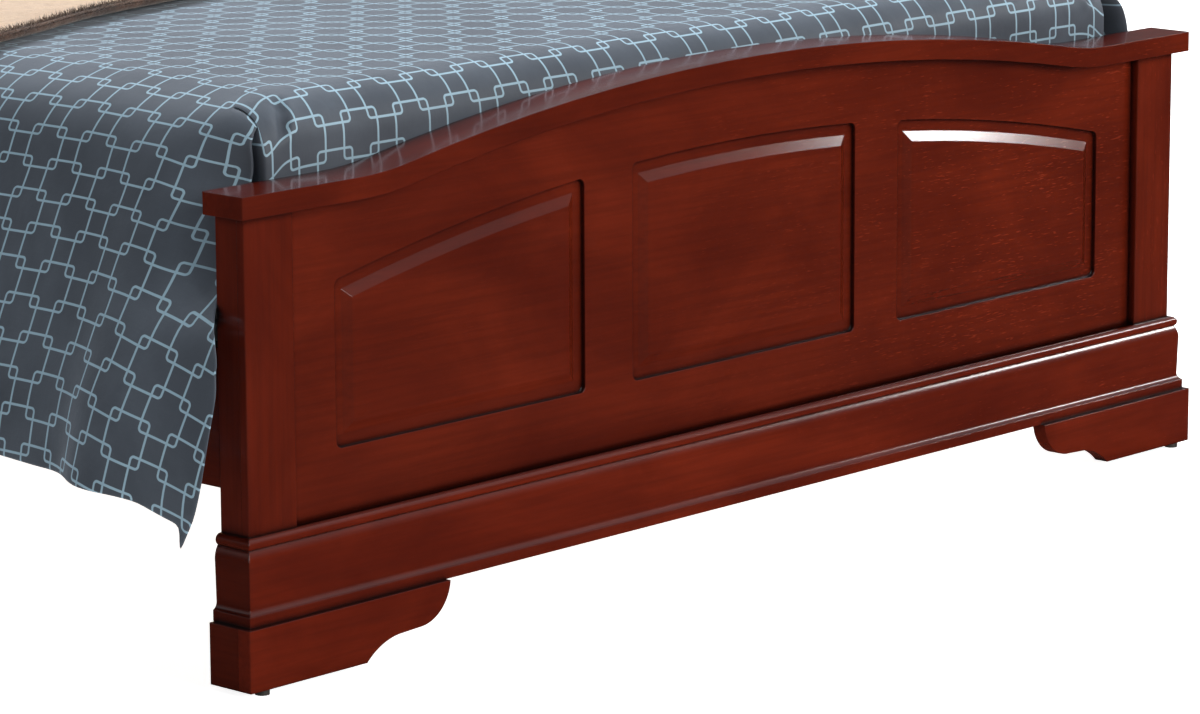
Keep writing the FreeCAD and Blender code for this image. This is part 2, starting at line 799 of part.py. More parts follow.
def mattress():
    """Block with drawn-in sides between its top and bottom edges and a low crown on top."""
    middle_y = (mattress_foot + mattress_head) / 2
    levels = [(mattress_low_edge, 0.0), (0.0, mattress_low_edge),
              (mattress_side_draw, mattress_height / 2)]
    for across, down in bend(mattress_top_edge):
        levels.append((-across, mattress_height - down))
    levels.append((mattress_crown_start, mattress_height + mattress_crown))
    rings = [rounded_ring(mattress_width / 2 - draw, mattress_length / 2 - draw, middle_y,
                          mattress_bottom + height) for draw, height in levels]
    return plain_loft(rings)


def cloth_section(y, offset, thickness, left_hem, right_hem, top_drop=0.0):
    """Closed section of a cloth laid over the bed: over the top, round the shoulders, down past the rails.

    Each hem is (how far the cloth stands past the rail line at the rail, and at its hem, and the hem's height).
    """
    shoulder = mattress_width / 2 + cloth_shoulder_out + offset
    top = cloth_inner_top + offset - top_drop
    rail_line = rail_out + cloth_side_clearance + offset
    rail_z = rail_top + cloth_rail_height

    def side_points(side, hem, grow):
        hip_out, hem_out, hem_z = hem
        points = [V(side * (rail_line + grow + hem_out), y, hem_z),
                  V(side * (rail_line + grow + hip_out), y, max(rail_z, hem_z + 1))]
        for across, down in bend(shoulder_bend):
            points.append(V(side * (shoulder + grow + across), y, top + grow - down))
        return points

    def skin(grow):
        return side_points(-1, left_hem, grow) + side_points(1, right_hem, grow)[::-1]

    inner = skin(0.0)
    outer = skin(thickness)
    points = outer + inner[::-1]
    return Part.makePolygon(points + points[:1])


def coverlet_hem(distance, phase):
    """Hem of the coverlet at a distance from its foot end, as cloth_section takes it."""
    beyond = max(0.0, distance - drop_tip_distance)
    rise = (drop_run_height - drop_tip_height) * (1 - math.exp(-beyond / drop_rise_length))
    fold = drop_fold * math.sin(2 * math.pi * beyond / drop_fold_length + phase)
    wave = hem_wave * math.sin(2 * math.pi * beyond / hem_wave_length + phase)
    hem_z = drop_tip_height + rise + wave
    turn_in = drop_turn_in * math.exp(-beyond / drop_turn_length)
    if distance < drop_tip_distance:
        share = distance / drop_tip_distance
        hem_z = drop_corner_height + (hem_z - drop_corner_height) * share
        turn_in = turn_in * share
        fold = fold * share
    return fold * hip_share, drop_lean * (rail_top - hem_z) - turn_in + fold, hem_z


def coverlet():
    """Coverlet with folded side drops, and a foot end that is tucked down inside the footboard."""
    length = mattress_head - coverlet_head_gap - tuck_front
    steps = [0.0, drop_tip_distance / 8, drop_tip_distance / 3, drop_tip_distance * 2 / 3, drop_tip_distance]
    step = drop_fold_length / 24
    while steps[-1] + step < length:
        steps.append(steps[-1] + step)
        step = min(step * 1.25, drop_fold_length / 2.6)
    sections = []
    for distance in steps + [length]:
        run_in = max(0.0, foot_bend - distance)
        top_drop = foot_bend - math.sqrt(foot_bend ** 2 - run_in ** 2)
        hems = coverlet_hem(distance, 0.0), coverlet_hem(distance, right_drop_phase)
        sections.append(cloth_section(tuck_front + distance, 0.0, cloth_thickness, *hems, top_drop))
    cloth = plain_loft(sections)
    tuck = box(-tuck_half_width, tuck_half_width, tuck_front, tuck_front + cloth_thickness,
               tuck_bottom, cloth_inner_top - foot_bend + cloth_thickness / 2)
    return cloth.fuse(tuck).removeSplitter()


def throw_blanket():
    """Throw laid a little askew over the coverlet, hanging on both sides."""
    slope = math.tan(math.radians(throw_turn_degrees))
    offset = cloth_thickness + soft_gap
    shoulder_z = cloth_inner_top + offset - shoulder_bend
    hem_z = shoulder_z - throw_drop
    hem = (throw_hip_flare, throw_flare, hem_z)
    sections = [cloth_section(y, offset, throw_thickness, hem, hem) for y in (foot_face, head_face)]
    channel = plain_loft(sections)
    depth = throw_depth / math.cos(math.radians(throw_turn_degrees))
    front = foot_face + throw_front
    edge_x = mattress_width / 2 + cloth_shoulder_out + offset
    wide = 2 * posts_width
    top_points = [V(x, front + x * slope + step, shoulder_z)
                  for x, step in ((-wide, 0), (wide, 0), (wide, depth), (-wide, depth))]
    top_zone = Part.Face(Part.makePolygon(top_points + top_points[:1])).extrude(V(0, 0, 4 * shoulder_bend))
    pieces = [channel.common(top_zone)]
    for _, side in SIDES:
        corner = front + side * edge_x * slope
        fall = side * slope * throw_drop
        points = [V(0, corner, shoulder_z), V(0, corner + depth, shoulder_z),
                  V(0, corner + depth + fall, hem_z), V(0, corner + fall, hem_z)]
        zone = Part.Face(Part.makePolygon(points + points[:1])).extrude(V(side * wide, 0, 0))
        pieces.append(channel.common(zone))
    return pieces[0].fuse(pieces[1:]).removeSplitter()


# ---------------------------------------------------------------- assembly
def build_parts():
    parts = {}
    foot_glide_places = [(foot_out - glide_inset, -foot_projection + bracket_thickness / 2),
                         ((post_in + post_out) / 2, post_depth - glide_inset / 2)]
    head_glide_places = [((post_in + post_out) / 2, post_depth - glide_inset / 2)]
    boards = [
        ("footboard", foot_face, footboard_end_height, foot_top, footboard_field_bottom,
         foot_back, -1, foot_top, foot_glide_places),
        ("headboard", head_face, headboard_end_height, headboard_panel_bottom, headboard_field_bottom,
         head_face, 1, glide_height, head_glide_places),
    ]
    for name, face, end_top, panel_bottom, field_bottom, joint, inward, strip_bottom, places in boards:
        parts[name + "_cap"] = cap(face, end_top)
        parts[name + "_panel"] = panel(face, end_top, panel_bottom, field_bottom)
        parts[name + "_glides"] = group(glides(face, places))
        for side_name, side in SIDES:
            parts[name + "_post_" + side_name] = post(side, face, end_top, panel_bottom, joint, inward)
            strip = pilaster(side, face, end_top, strip_bottom)
            if inward > 0:
                strip = strip.cut(rail_joint_cutter(side, joint, inward))
                strip = drilled(strip, plate_screw_heads(side, joint), V(0, inward, 0), screw_length)
            parts[name + "_pilaster_" + side_name] = strip

    panel_back = foot_face + pilaster_thickness + panel_thickness
    bottom_rail = box(-post_in, post_in, panel_back, foot_back, foot_top, foot_top + bottom_rail_height)
    parts["footboard_bottom_rail"] = drilled(
        bottom_rail, hanger_screw_heads(foot_back, 1), V(0, -1, 0), screw_length)
    parts["footboard_plinth_backing"] = box(
        -post_in, post_in, foot_face, foot_face + pilaster_thickness, foot_top, plinth_top - 6)
    lower_front = head_face + pilaster_thickness
    lower_rail = box(-post_in, post_in, lower_front, lower_front + lower_rail_thickness,
                     headboard_panel_bottom - lower_rail_height, headboard_panel_bottom)
    parts["headboard_lower_rail"] = drilled(
        lower_rail, hanger_screw_heads(lower_front, -1), V(0, 1, 0), screw_length)

    parts["footboard_plinth_front"] = plinth_front()
    parts["footboard_glue_blocks"] = glue_blocks()
    for side_name, side in SIDES:
        parts["footboard_plinth_return_" + side_name] = plinth_return(side)
        parts["foot_bracket_front_" + side_name] = bracket_front(side)
        parts["foot_bracket_side_" + side_name] = bracket_side(side)
        parts["side_rail_" + side_name] = side_rail(side)
        parts["slat_cleat_" + side_name] = cleat(side)

    joints = [(side, y, into_post) for _, side in SIDES for y, into_post in rail_ends()]
    parts["rail_hook_plates"] = group([hook_plate(*joint) for joint in joints])
    parts["post_strike_plates"] = group([strike_plate(*joint) for joint in joints])
    parts["rail_plate_screws"] = group(plate_screws())
    parts["cleat_screws"] = group([screw(head, V(side, 0, 0), cleat_screw_length)
                                   for _, side in SIDES for head in cleat_screw_heads(side)])
    for number, y in enumerate(slat_centres(), 1):
        parts["slat_%02d" % number] = slat(y)
    parts["slat_screws"] = group([screw(head, V(0, 0, -1), slat_screw_length)
                                  for y in slat_centres() for head in slat_screw_heads(y)])

    parts["centre_beam"] = centre_beam()
    parts["beam_hangers"] = group([hanger(y, outward) for y, outward in hanger_faces()])
    parts["beam_hanger_screws"] = group(hanger_screws())
    parts["leg_thread_inserts"] = group([leg_insert(y) for y in leg_centres()])
    for number, y in enumerate(leg_centres(), 1):
        parts["centre_leg_%d" % number] = centre_leg(y)
        parts["leg_leveller_%d" % number] = leveller(y)

    parts["box_spring"] = box_spring()
    parts["mattress"] = mattress()
    parts["coverlet"] = coverlet()
    parts["throw_blanket"] = throw_blanket()
    return parts


def main():
    os.makedirs("parts", exist_ok=True)
    for node, shape in build_parts().items():
        if not shape.isValid():
            raise ValueError(node + " is not a valid shape")
        shape.exportStep("parts/" + node + ".step")
        print("%-34s solids %2d  volume %.0f" % (node, len(shape.Solids), shape.Volume))


main()
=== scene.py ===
import bisect
import math

import bmesh
import bpy
from mathutils import Matrix, Vector, noise


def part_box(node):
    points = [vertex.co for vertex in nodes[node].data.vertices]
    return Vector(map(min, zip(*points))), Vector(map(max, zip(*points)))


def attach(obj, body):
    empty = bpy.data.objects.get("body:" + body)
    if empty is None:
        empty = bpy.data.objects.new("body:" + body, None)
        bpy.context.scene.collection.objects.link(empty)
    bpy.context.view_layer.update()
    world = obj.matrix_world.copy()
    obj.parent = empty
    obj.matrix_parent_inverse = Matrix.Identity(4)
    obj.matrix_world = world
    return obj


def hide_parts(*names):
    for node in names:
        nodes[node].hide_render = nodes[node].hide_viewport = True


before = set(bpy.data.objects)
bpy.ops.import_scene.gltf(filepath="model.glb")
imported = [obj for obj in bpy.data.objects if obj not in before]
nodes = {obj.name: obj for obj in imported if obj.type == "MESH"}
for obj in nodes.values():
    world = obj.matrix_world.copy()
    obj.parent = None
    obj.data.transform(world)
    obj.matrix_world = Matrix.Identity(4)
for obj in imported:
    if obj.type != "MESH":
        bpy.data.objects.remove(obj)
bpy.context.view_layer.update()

WHITE = (1.0, 1.0, 1.0, 1.0)


# ======== node trees
class Tree:
    """A node tree with short ways to add nodes and join them. A value is plain or another node's output."""

    def __init__(self, group):
        self.group = group
        group.nodes.clear()

    def join(self, value, socket):
        if isinstance(value, bpy.types.NodeSocket):
            self.group.links.new(value, socket)
        else:
            socket.default_value = value

    def put(self, kind, inputs=(), **settings):
        """Adds a node with its settings and inputs."""
        made = self.group.nodes.new(kind)
        for name, value in settings.items():
            setattr(made, name, value)
        for key, value in dict(inputs).items():
            self.join(value, made.inputs[key])
        return made

    def calc(self, operation, *values, clamp=False):
        return self.put("ShaderNodeMath", enumerate(values), operation=operation, use_clamp=clamp).outputs[0]

    def plus(self, first, second):
        return self.calc("ADD", first, second)

    def minus(self, first, second):
        return self.calc("SUBTRACT", first, second)

    def times(self, first, second):
        return self.calc("MULTIPLY", first, second)

    def stretched(self, vector, factors):
        return self.put("ShaderNodeVectorMath", {0: vector, 1: factors}, operation="MULTIPLY").outputs[0]

    def scaled(self, vector, factor):
        return self.put("ShaderNodeVectorMath", {0: vector, "Scale": factor}, operation="SCALE").outputs[0]

    def place(self):
        """The object's own coordinates."""
        return self.put("ShaderNodeTexCoord").outputs["Object"]

    def part(self, vector, axis):
        return self.put("ShaderNodeSeparateXYZ", {"Vector": vector}).outputs[axis]

    def between(self, value, low, high, start=0.0, end=1.0):
        """Soft step from start to end while the value goes from low to high."""
        return self.put("ShaderNodeMapRange", {"Value": value, "From Min": low, "From Max": high, "To Min": start,
                                               "To Max": end}, interpolation_type="SMOOTHSTEP").outputs["Result"]

    def blend(self, share, first, second):
        """Mixes two colours."""
        return self.put("ShaderNodeMix", {0: share, 6: first, 7: second}, data_type="RGBA").outputs[2]

    def cloud(self, vector, scale, detail=4.0, roughness=0.55, distortion=0.0):
        return self.put("ShaderNodeTexNoise", {"Vector": vector, "Scale": scale, "Detail": detail,
                                               "Roughness": roughness, "Distortion": distortion}).outputs["Fac"]

    def use(self, group, inputs):
        return self.put("ShaderNodeGroup", inputs, node_tree=group).outputs

    def covered(self, shape, material):
        """Geometry made real and given its material."""
        whole = self.put("GeometryNodeRealizeInstances", {"Geometry": shape})
        return self.put("GeometryNodeSetMaterial", {"Geometry": whole.outputs[0], "Material": material}).outputs[0]

    def stood(self, points, pattern, aim, lean, more=()):
        """Copies of a pattern on points, each set along the point's aim and then turned by its lean."""
        way = self.put("GeometryNodeInputNamedAttribute", {"Name": aim}, data_type="FLOAT_VECTOR")
        turned = self.put("FunctionNodeAlignRotationToVector", {"Vector": way.outputs["Attribute"]}, axis="Z")
        leaned = self.put("FunctionNodeEulerToRotation", {"Euler": lean})
        both = self.put("FunctionNodeRotateRotation",
                        {"Rotation": turned.outputs[0], "Rotate By": leaned.outputs[0]}, rotation_space="LOCAL")
        shape = self.put("GeometryNodeObjectInfo", {"Object": pattern}).outputs["Geometry"]
        return self.put("GeometryNodeInstanceOnPoints", {"Points": points, "Instance": shape,
                                                         "Rotation": both.outputs[0], **dict(more)}).outputs[0]


def made_by_recipe(kind, inputs, outputs):
    """Makes a node group from a recipe, which takes the tree and its inputs and gives its outputs in order.

    An input is given by its usual value, or by the name of its sort. Outputs are numbers or geometry.
    """
    def make(recipe):
        group = bpy.data.node_groups.new(recipe.__name__, kind)
        for label, value in inputs.items():
            sort = value if isinstance(value, str) else type(value).__name__.capitalize()
            socket = group.interface.new_socket(label, in_out="INPUT", socket_type="NodeSocket" + sort)
            if sort != value:
                socket.default_value = value
        for label in outputs:
            sort = "Geometry" if label == "Geometry" else "Float"
            group.interface.new_socket(label, in_out="OUTPUT", socket_type="NodeSocket" + sort)
        tree = Tree(group)
        given, result = tree.put("NodeGroupInput").outputs, tree.put("NodeGroupOutput").inputs
        for label, value in zip(outputs, recipe(tree, given)):
            tree.join(value, result[label])
        return group
    return make


def colour(red, green, blue, depth=1.0):
    """Screen colour out of 255, made deeper or paler, as the linear colour that a shader takes."""
    def linear(level):
        share = level * depth / 255
        return share / 12.92 if share <= 0.04045 else ((share + 0.055) / 1.055) ** 2.4
    return linear(red), linear(green), linear(blue), 1.0


# ======== shared effects
@made_by_recipe("ShaderNodeTree", {"Vector": "Vector", "Figure Scale": 1.0, "Pore Amount": 0.5},
                ["Clouds", "Fibres", "Pores", "Height"])
def wood_figure(tree, given):
    """Figure of a board whose grain runs along the vector's first axis: clouds, fibres and open pores."""
    vector = tree.scaled(given["Vector"], given["Figure Scale"])
    broad = tree.stretched(vector, (2.6, 5.0, 5.0))
    clouds = tree.cloud(broad, 1.4, 5.0, 0.6, 0.6)
    fibres = tree.cloud(tree.stretched(vector, (5.0, 130.0, 130.0)), 1.0, 6.0, 0.62, 0.15)
    dashes = tree.cloud(tree.stretched(vector, (70.0, 800.0, 800.0)), 1.0, 2.0, 0.5)
    patches = tree.cloud(broad, 3.2, 2.0, 0.5)
    level = tree.minus(0.74, tree.times(given["Pore Amount"], 0.14))
    level = tree.minus(level, tree.times(tree.minus(patches, 0.5), 0.22))
    pores = tree.between(dashes, level, tree.plus(level, 0.05))
    return clouds, fibres, pores, tree.minus(tree.times(fibres, 0.35), pores)


@made_by_recipe("ShaderNodeTree", {"Reach": 0.012, "Strength": 1.0}, ["Mask"])
def settled_glaze(tree, given):
    """Painted shade in corners and recesses, as a mask from ambient occlusion."""
    shade = tree.put("ShaderNodeAmbientOcclusion", {"Distance": given["Reach"]}, samples=6)
    mask = tree.between(tree.minus(1.0, shade.outputs["AO"]), 0.07, 0.48)
    return [tree.calc("MULTIPLY", mask, given["Strength"], clamp=True)]


@made_by_recipe("ShaderNodeTree", {"Vector": "Vector", "Pitch": 0.0391, "Overlap": 0.0118, "Line": 0.0027,
                                   "Corner": 0.0042, "Blur": 0.0004}, ["Lines"])
def linked_squares(tree, given):
    """Two families of round-cornered squares that overlap in small squares at their corners."""
    period = tree.times(given["Pitch"], 2.0)
    half = tree.times(tree.plus(given["Pitch"], given["Overlap"]), 0.5)
    straight = tree.minus(half, given["Corner"])
    lines = []
    for shift in (0.25, 0.75):
        sides = []
        for axis in "XY":
            steps = tree.plus(tree.calc("DIVIDE", tree.part(given["Vector"], axis), period), shift)
            middle = tree.minus(tree.calc("FRACT", steps), 0.5)
            sides.append(tree.minus(tree.calc("ABSOLUTE", tree.times(middle, period)), straight))
        outside = tree.put("ShaderNodeCombineXYZ", {axis: tree.calc("MAXIMUM", side, 0.0)
                                                    for axis, side in zip("XY", sides)})
        far = tree.put("ShaderNodeVectorMath", {0: outside.outputs[0]}, operation="LENGTH").outputs["Value"]
        near = tree.calc("MINIMUM", tree.calc("MAXIMUM", *sides), 0.0)
        distance = tree.minus(tree.plus(far, near), given["Corner"])
        edge = tree.minus(tree.calc("ABSOLUTE", distance), tree.times(given["Line"], 0.5))
        lines.append(tree.calc("SUBTRACT", 0.5, tree.calc("DIVIDE", edge, given["Blur"]), clamp=True))
    return [tree.calc("MAXIMUM", *lines)]


@made_by_recipe("ShaderNodeTree", {"Vector": "Vector", "Threads": 9000.0, "Slub": 0.5}, ["Height", "Shade"])
def fine_weave(tree, given):
    """Threads of a fine cloth: a height and a slight change of shade from thread to thread."""
    waves = [tree.calc("SINE", tree.times(tree.part(given["Vector"], axis), given["Threads"])) for axis in "XY"]
    slubs = [tree.cloud(tree.stretched(given["Vector"], factors), 1.0, 3.0, 0.6)
             for factors in ((900.0, 45.0, 1.0), (45.0, 900.0, 1.0))]
    return tree.times(tree.plus(*waves), 0.25), tree.times(tree.plus(*slubs), given["Slub"])


@made_by_recipe("ShaderNodeTree", {"Vector": "Vector", "Tufts": 420.0, "Drift": 22.0}, ["Height", "Light"])
def brushed_pile(tree, given):
    """Short tufted pile, brushed in drifts: a height, and how light each tuft is."""
    drift = tree.cloud(given["Vector"], given["Drift"], 4.0, 0.6, 0.8)
    tufts = tree.cloud(given["Vector"], given["Tufts"], 3.0, 0.7, 0.6)
    clumps = tree.cloud(given["Vector"], tree.times(given["Tufts"], 0.28), 3.0, 0.6, 0.4)
    return (tree.plus(tree.times(tufts, 0.5), clumps),
            tree.plus(tree.times(drift, 0.55), tree.times(clumps, 0.45)))


@made_by_recipe("ShaderNodeTree", {"Vector": "Vector", "Diamond": 0.11}, ["Height", "Seam"])
def quilted_top(tree, given):
    """Diamond quilting: how far a place is puffed up between the stitched lines, and the lines."""
    across, along = (tree.part(given["Vector"], axis) for axis in "XY")
    edges = []
    for way in ("ADD", "SUBTRACT"):
        run = tree.calc("DIVIDE", tree.calc(way, across, along), given["Diamond"])
        edges.append(tree.minus(0.5, tree.calc("ABSOLUTE", tree.minus(tree.calc("FRACT", run), 0.5))))
    near = tree.calc("MINIMUM", *edges)
    return tree.between(near, 0.0, 0.22), tree.between(near, 0.0, 0.025, 1.0, 0.0)


# ======== materials
GRAIN_TURNS = {"across": (0.0, 0.0, 0.0), "along": (0.0, 0.0, math.radians(90)),
               "up": (0.0, math.radians(90), 0.0)}
LATTICE_START = (0.0124, 0.0617, 0.0)


def blank_tree(name):
    """The tree of a new material, with its surface shader joined to the end."""
    material = bpy.data.materials.new(name)
    material.use_nodes = True
    tree = Tree(material.node_tree)
    tree.material = material
    tree.surface = tree.put("ShaderNodeBsdfPrincipled")
    tree.put("ShaderNodeOutputMaterial", {"Surface": tree.surface.outputs[0]})
    return tree


def finished(tree, base, rough, bump=(), levels=()):
    """Gives a surface its colour, roughness, bump (height, strength, depth, normal) and other levels."""
    if bump:
        relief = tree.put("ShaderNodeBump", zip(("Height", "Strength", "Distance", "Normal"), bump))
        tree.join(relief.outputs[0], tree.surface.inputs["Normal"])
    for label, value in {"Base Color": base, "Roughness": rough, **dict(levels)}.items():
        tree.join(value, tree.surface.inputs[label])
    return tree.material


def grain_vector(tree, direction, shift):
    return tree.put("ShaderNodeMapping", {"Vector": tree.place(), "Rotation": GRAIN_TURNS[direction],
                                          "Location": (shift, shift * 0.7, shift * 1.3)}).outputs[0]


def cherry(name, direction, shift=0.0, pores=0.5, painted_light_level=1.0):
    """Red-brown lacquer over cherry: clouds and fibres of the wood, satin gloss, painted shade in corners, painted
    highlights on the pores, and the whole piece painted paler or deeper by its light.
    """
    tree = blank_tree(name)
    wood = tree.use(wood_figure, {"Vector": grain_vector(tree, direction, shift), "Pore Amount": pores})
    # painted light and shade: the whole colour is made paler or deeper by the piece's painted light level
    base = tree.blend(tree.between(wood["Clouds"], 0.25, 0.8), colour(73, 18, 6, painted_light_level), colour(98, 29, 11, painted_light_level))
    streaks = tree.times(tree.between(wood["Fibres"], 0.34, 0.7), 0.35)
    base = tree.blend(streaks, base, colour(54, 12, 5, painted_light_level))
    # painted highlight: the open pores are painted lighter, more so towards the right end, where they catch more
    # light
    pore_highlight_ramp = tree.between(tree.part(tree.place(), "X"), -0.25, 0.6, 0.12, 1.0)
    base = tree.blend(tree.times(tree.times(wood["Pores"], pore_highlight_ramp), 0.6), base, colour(134, 46, 26))
    # painted shade: corners and recesses are painted near black, where shade falls
    painted_shade = tree.use(settled_glaze, {"Reach": 0.014, "Strength": 0.95})
    base = tree.blend(painted_shade["Mask"], base, colour(12, 4, 4))
    eased = tree.put("ShaderNodeBevel", {"Radius": 0.0016}, samples=4).outputs[0]
    return finished(tree, base, tree.plus(0.15, tree.times(wood["Fibres"], 0.08)),
                    (wood["Height"], 0.10, 0.0004, eased),
                    {"IOR": 1.48, "Specular IOR Level": 0.34, "Coat Weight": 0.12, "Coat Roughness": 0.1})


def sawn_timber(name, direction, pale, dark, shift):
    """Bare planed softwood with growth lines."""
    tree = blank_tree(name)
    vector = grain_vector(tree, direction, shift)
    wood = tree.use(wood_figure, {"Vector": vector, "Figure Scale": 1.4, "Pore Amount": 0.2})
    lines = tree.put("ShaderNodeTexWave", {"Vector": tree.stretched(vector, (0.6, 9.0, 9.0)), "Scale": 3.0,
                                           "Distortion": 3.5, "Detail": 3.0, "Detail Scale": 0.6},
                     bands_direction="Y")
    base = tree.blend(tree.times(lines.outputs["Fac"], 0.55), pale, dark)
    base = tree.blend(tree.times(wood["Fibres"], 0.4), base, dark)
    return finished(tree, base, tree.plus(0.55, tree.times(wood["Clouds"], 0.2)), (wood["Height"], 0.3, 0.0006))


def plated_steel(name, tint, rough):
    """Bright plated steel with small blooms and fine scratches."""
    tree = blank_tree(name)
    bloom = tree.cloud(tree.place(), 90.0, 4.0, 0.7, 0.4)
    scratch = tree.cloud(tree.stretched(tree.place(), (60.0, 900.0, 900.0)), 1.0, 3.0)
    base = tree.blend(bloom, tint, tuple(level * 0.62 for level in tint[:3]) + (1.0,))
    return finished(tree, base, tree.plus(rough, tree.times(scratch, 0.22)), (scratch, 0.12, 0.0002),
                    {"Metallic": 1.0})


def moulded_plastic(name, tint):
    """Dull plastic with a fine grain and pale scuffs."""
    tree = blank_tree(name)
    grain = tree.cloud(tree.place(), 1400.0, 2.0, 0.6)
    scuffs = tree.cloud(tree.place(), 60.0, 4.0, 0.65)
    base = tree.blend(tree.times(scuffs, 0.35), tint, colour(90, 86, 82))
    return finished(tree, base, tree.plus(0.42, tree.times(scuffs, 0.2)), (grain, 0.15, 0.0002))


def sateen():
    """Slate-grey sateen with a printed lattice of pale blue linked squares."""
    tree = blank_tree("slate_sateen")
    cloth = tree.put("ShaderNodeUVMap", uv_map="cloth").outputs[0]
    moved = tree.put("ShaderNodeVectorMath", {0: cloth, 1: LATTICE_START}, operation="ADD").outputs[0]
    lines = tree.use(linked_squares, {"Vector": moved})["Lines"]
    threads = tree.use(fine_weave, {"Vector": cloth})
    shade = tree.times(threads["Shade"], 0.5)
    drift = tree.cloud(tree.place(), 7.0, 4.0, 0.55, 0.3)
    ground = tree.blend(tree.between(drift, 0.3, 0.7), colour(68, 76, 86), colour(86, 95, 106))
    ground = tree.blend(shade, ground, colour(60, 63, 70))
    ink = tree.blend(shade, colour(158, 188, 204), colour(128, 157, 174))
    puckers = tree.cloud(tree.place(), 38.0, 4.0, 0.6, 0.5)
    height = tree.plus(tree.times(threads["Height"], 0.05), puckers)
    return finished(tree, tree.blend(lines, ground, ink), tree.plus(0.44, tree.times(threads["Shade"], 0.14)),
                    (height, 0.25, 0.002), {"Specular IOR Level": 0.36, "Sheen Weight": 0.25,
                                            "Sheen Roughness": 0.4, "Sheen Tint": (0.82, 0.9, 1.0, 1.0)})


def fleece(name, light, dark, sheen):
    """Short brushed pile with a soft glow at its edges."""
    tree = blank_tree(name)
    pile = tree.use(brushed_pile, {"Vector": tree.place()})
    return finished(tree, tree.blend(tree.between(pile["Light"], 0.34, 0.68), dark, light), 0.92,
                    (pile["Height"], 0.55, 0.004),
                    {"Sheen Weight": sheen, "Sheen Roughness": 0.5, "Sheen Tint": (1.0, 0.92, 0.84, 1.0)})


def ticking(name, tint, darker_tone_and_seam_shade, quilted=False):
    """Woven mattress cloth, quilted in diamonds or plain."""
    tree = blank_tree(name)
    figure = tree.cloud(tree.place(), 34.0, 3.0, 0.5, 1.2)
    base = tree.blend(tree.between(figure, 0.45, 0.55, 0.0, 0.35), tint, darker_tone_and_seam_shade)
    height = tree.times(tree.cloud(tree.place(), 900.0, 2.0), 0.04)
    if quilted:
        quilt = tree.use(quilted_top, {"Vector": tree.place()})
        # painted shade: the stitched lines are painted darker, where shade falls in their dips
        base = tree.blend(tree.times(quilt["Seam"], 0.6), base, darker_tone_and_seam_shade)
        height = tree.plus(height, quilt["Height"])
    return finished(tree, base, 0.72, (height, 0.8 if quilted else 0.3, 0.006), {"Sheen Weight": 0.25})


# painted light and shade: the last number paints each piece paler or deeper by how light falls on it, the
# side-facing returns, rails and posts deeper, the plinth front paler
cap_cherry = cherry("cherry_cap", "across", 0.0, 0.45, 0.98)
panel_cherry = cherry("cherry_panel", "across", 2.3, 0.6)
plinth_cherry = cherry("cherry_plinth", "across", 5.1, 0.35, 1.08)
post_cherry = cherry("cherry_post", "up", 7.7, 0.35, 0.96)
strip_cherry = cherry("cherry_strip", "up", 9.1, 0.4)
return_cherry = cherry("cherry_return", "along", 3.9, 0.3, 0.88)
rail_cherry = cherry("cherry_rail", "along", 6.3, 0.4, 0.94)
pine_across = sawn_timber("pine_slat", "across", colour(206, 168, 118), colour(168, 122, 74), 1.7)
pine_along = sawn_timber("pine_beam", "along", colour(198, 160, 112), colour(160, 116, 72), 4.1)
pine_up = sawn_timber("pine_leg", "up", colour(192, 154, 108), colour(150, 108, 68), 8.3)
zinc = plated_steel("zinc_plate", (0.62, 0.64, 0.68, 1.0), 0.26)
brass = plated_steel("brass_sleeve", (0.78, 0.56, 0.25, 1.0), 0.24)
glide_plastic = moulded_plastic("glide_plastic", colour(46, 38, 34))
slate_sateen = sateen()
tan_fleece = fleece("tan_fleece", colour(222, 190, 158), colour(196, 162, 132), 0.8)
brown_edge = fleece("brown_edge", colour(96, 66, 50), colour(48, 30, 24), 0.4)
mattress_ticking = ticking("mattress_ticking", colour(232, 229, 222), colour(178, 174, 168), quilted=True)
border_ticking = ticking("border_ticking", colour(222, 220, 214), colour(176, 176, 176))
tape_cloth = ticking("tape_cloth", colour(150, 152, 158), colour(110, 112, 120))


# ======== meshes
def add_object(name, content):
    piece = bpy.data.objects.new(name, content)
    bpy.context.scene.collection.objects.link(piece)
    return piece


def add_piece(name, points, faces, material, smooth=True, flat_places=None):
    """A mesh object, with a UV map of flat cloth coordinates when they are given."""
    mesh = bpy.data.meshes.new(name)
    mesh.from_pydata(points, [], faces)
    mesh.materials.append(material)
    if flat_places is not None:
        layer = mesh.uv_layers.new(name="cloth")
        for loop in mesh.loops:
            layer.data[loop.index].uv = flat_places[loop.vertex_index]
    for face in mesh.polygons:
        face.use_smooth = smooth
    mesh.update()
    return add_object(name, mesh)


def add_path(name, points, edges=(), mark=None, vectors=()):
    """Bare points and edges for a geometry tree to work on, with a named vector at each point."""
    mesh = bpy.data.meshes.new(name)
    mesh.from_pydata(points, list(edges), [])
    if mark:
        layer = mesh.attributes.new(mark, "FLOAT_VECTOR", "POINT")
        for number, vector in enumerate(vectors):
            layer.data[number].vector = vector
    return add_object(name, mesh)


def row_faces(rows, count, first=0, ring=True, loop=False):
    """Four-sided faces between rows of points. Each row may close into a ring, and the rows into a loop."""
    faces = []
    for row in range(rows if loop else rows - 1):
        here, there = first + row * count, first + (row + 1) % rows * count
        for number in range(count if ring else count - 1):
            after = (number + 1) % count
            faces.append((here + number, here + after, there + after, there + number))
    return faces


def add_cloth(name, grids, material):
    """A skin from grids, which are rows of (place, flat place)."""
    points, flats, faces = [], [], []
    for rows in grids:
        faces += row_faces(len(rows), len(rows[0]), first=len(points), ring=False)
        for place, flat in sum(rows, []):
            points.append(place)
            flats.append(flat)
    return add_piece(name, points, faces, material, flat_places=flats)


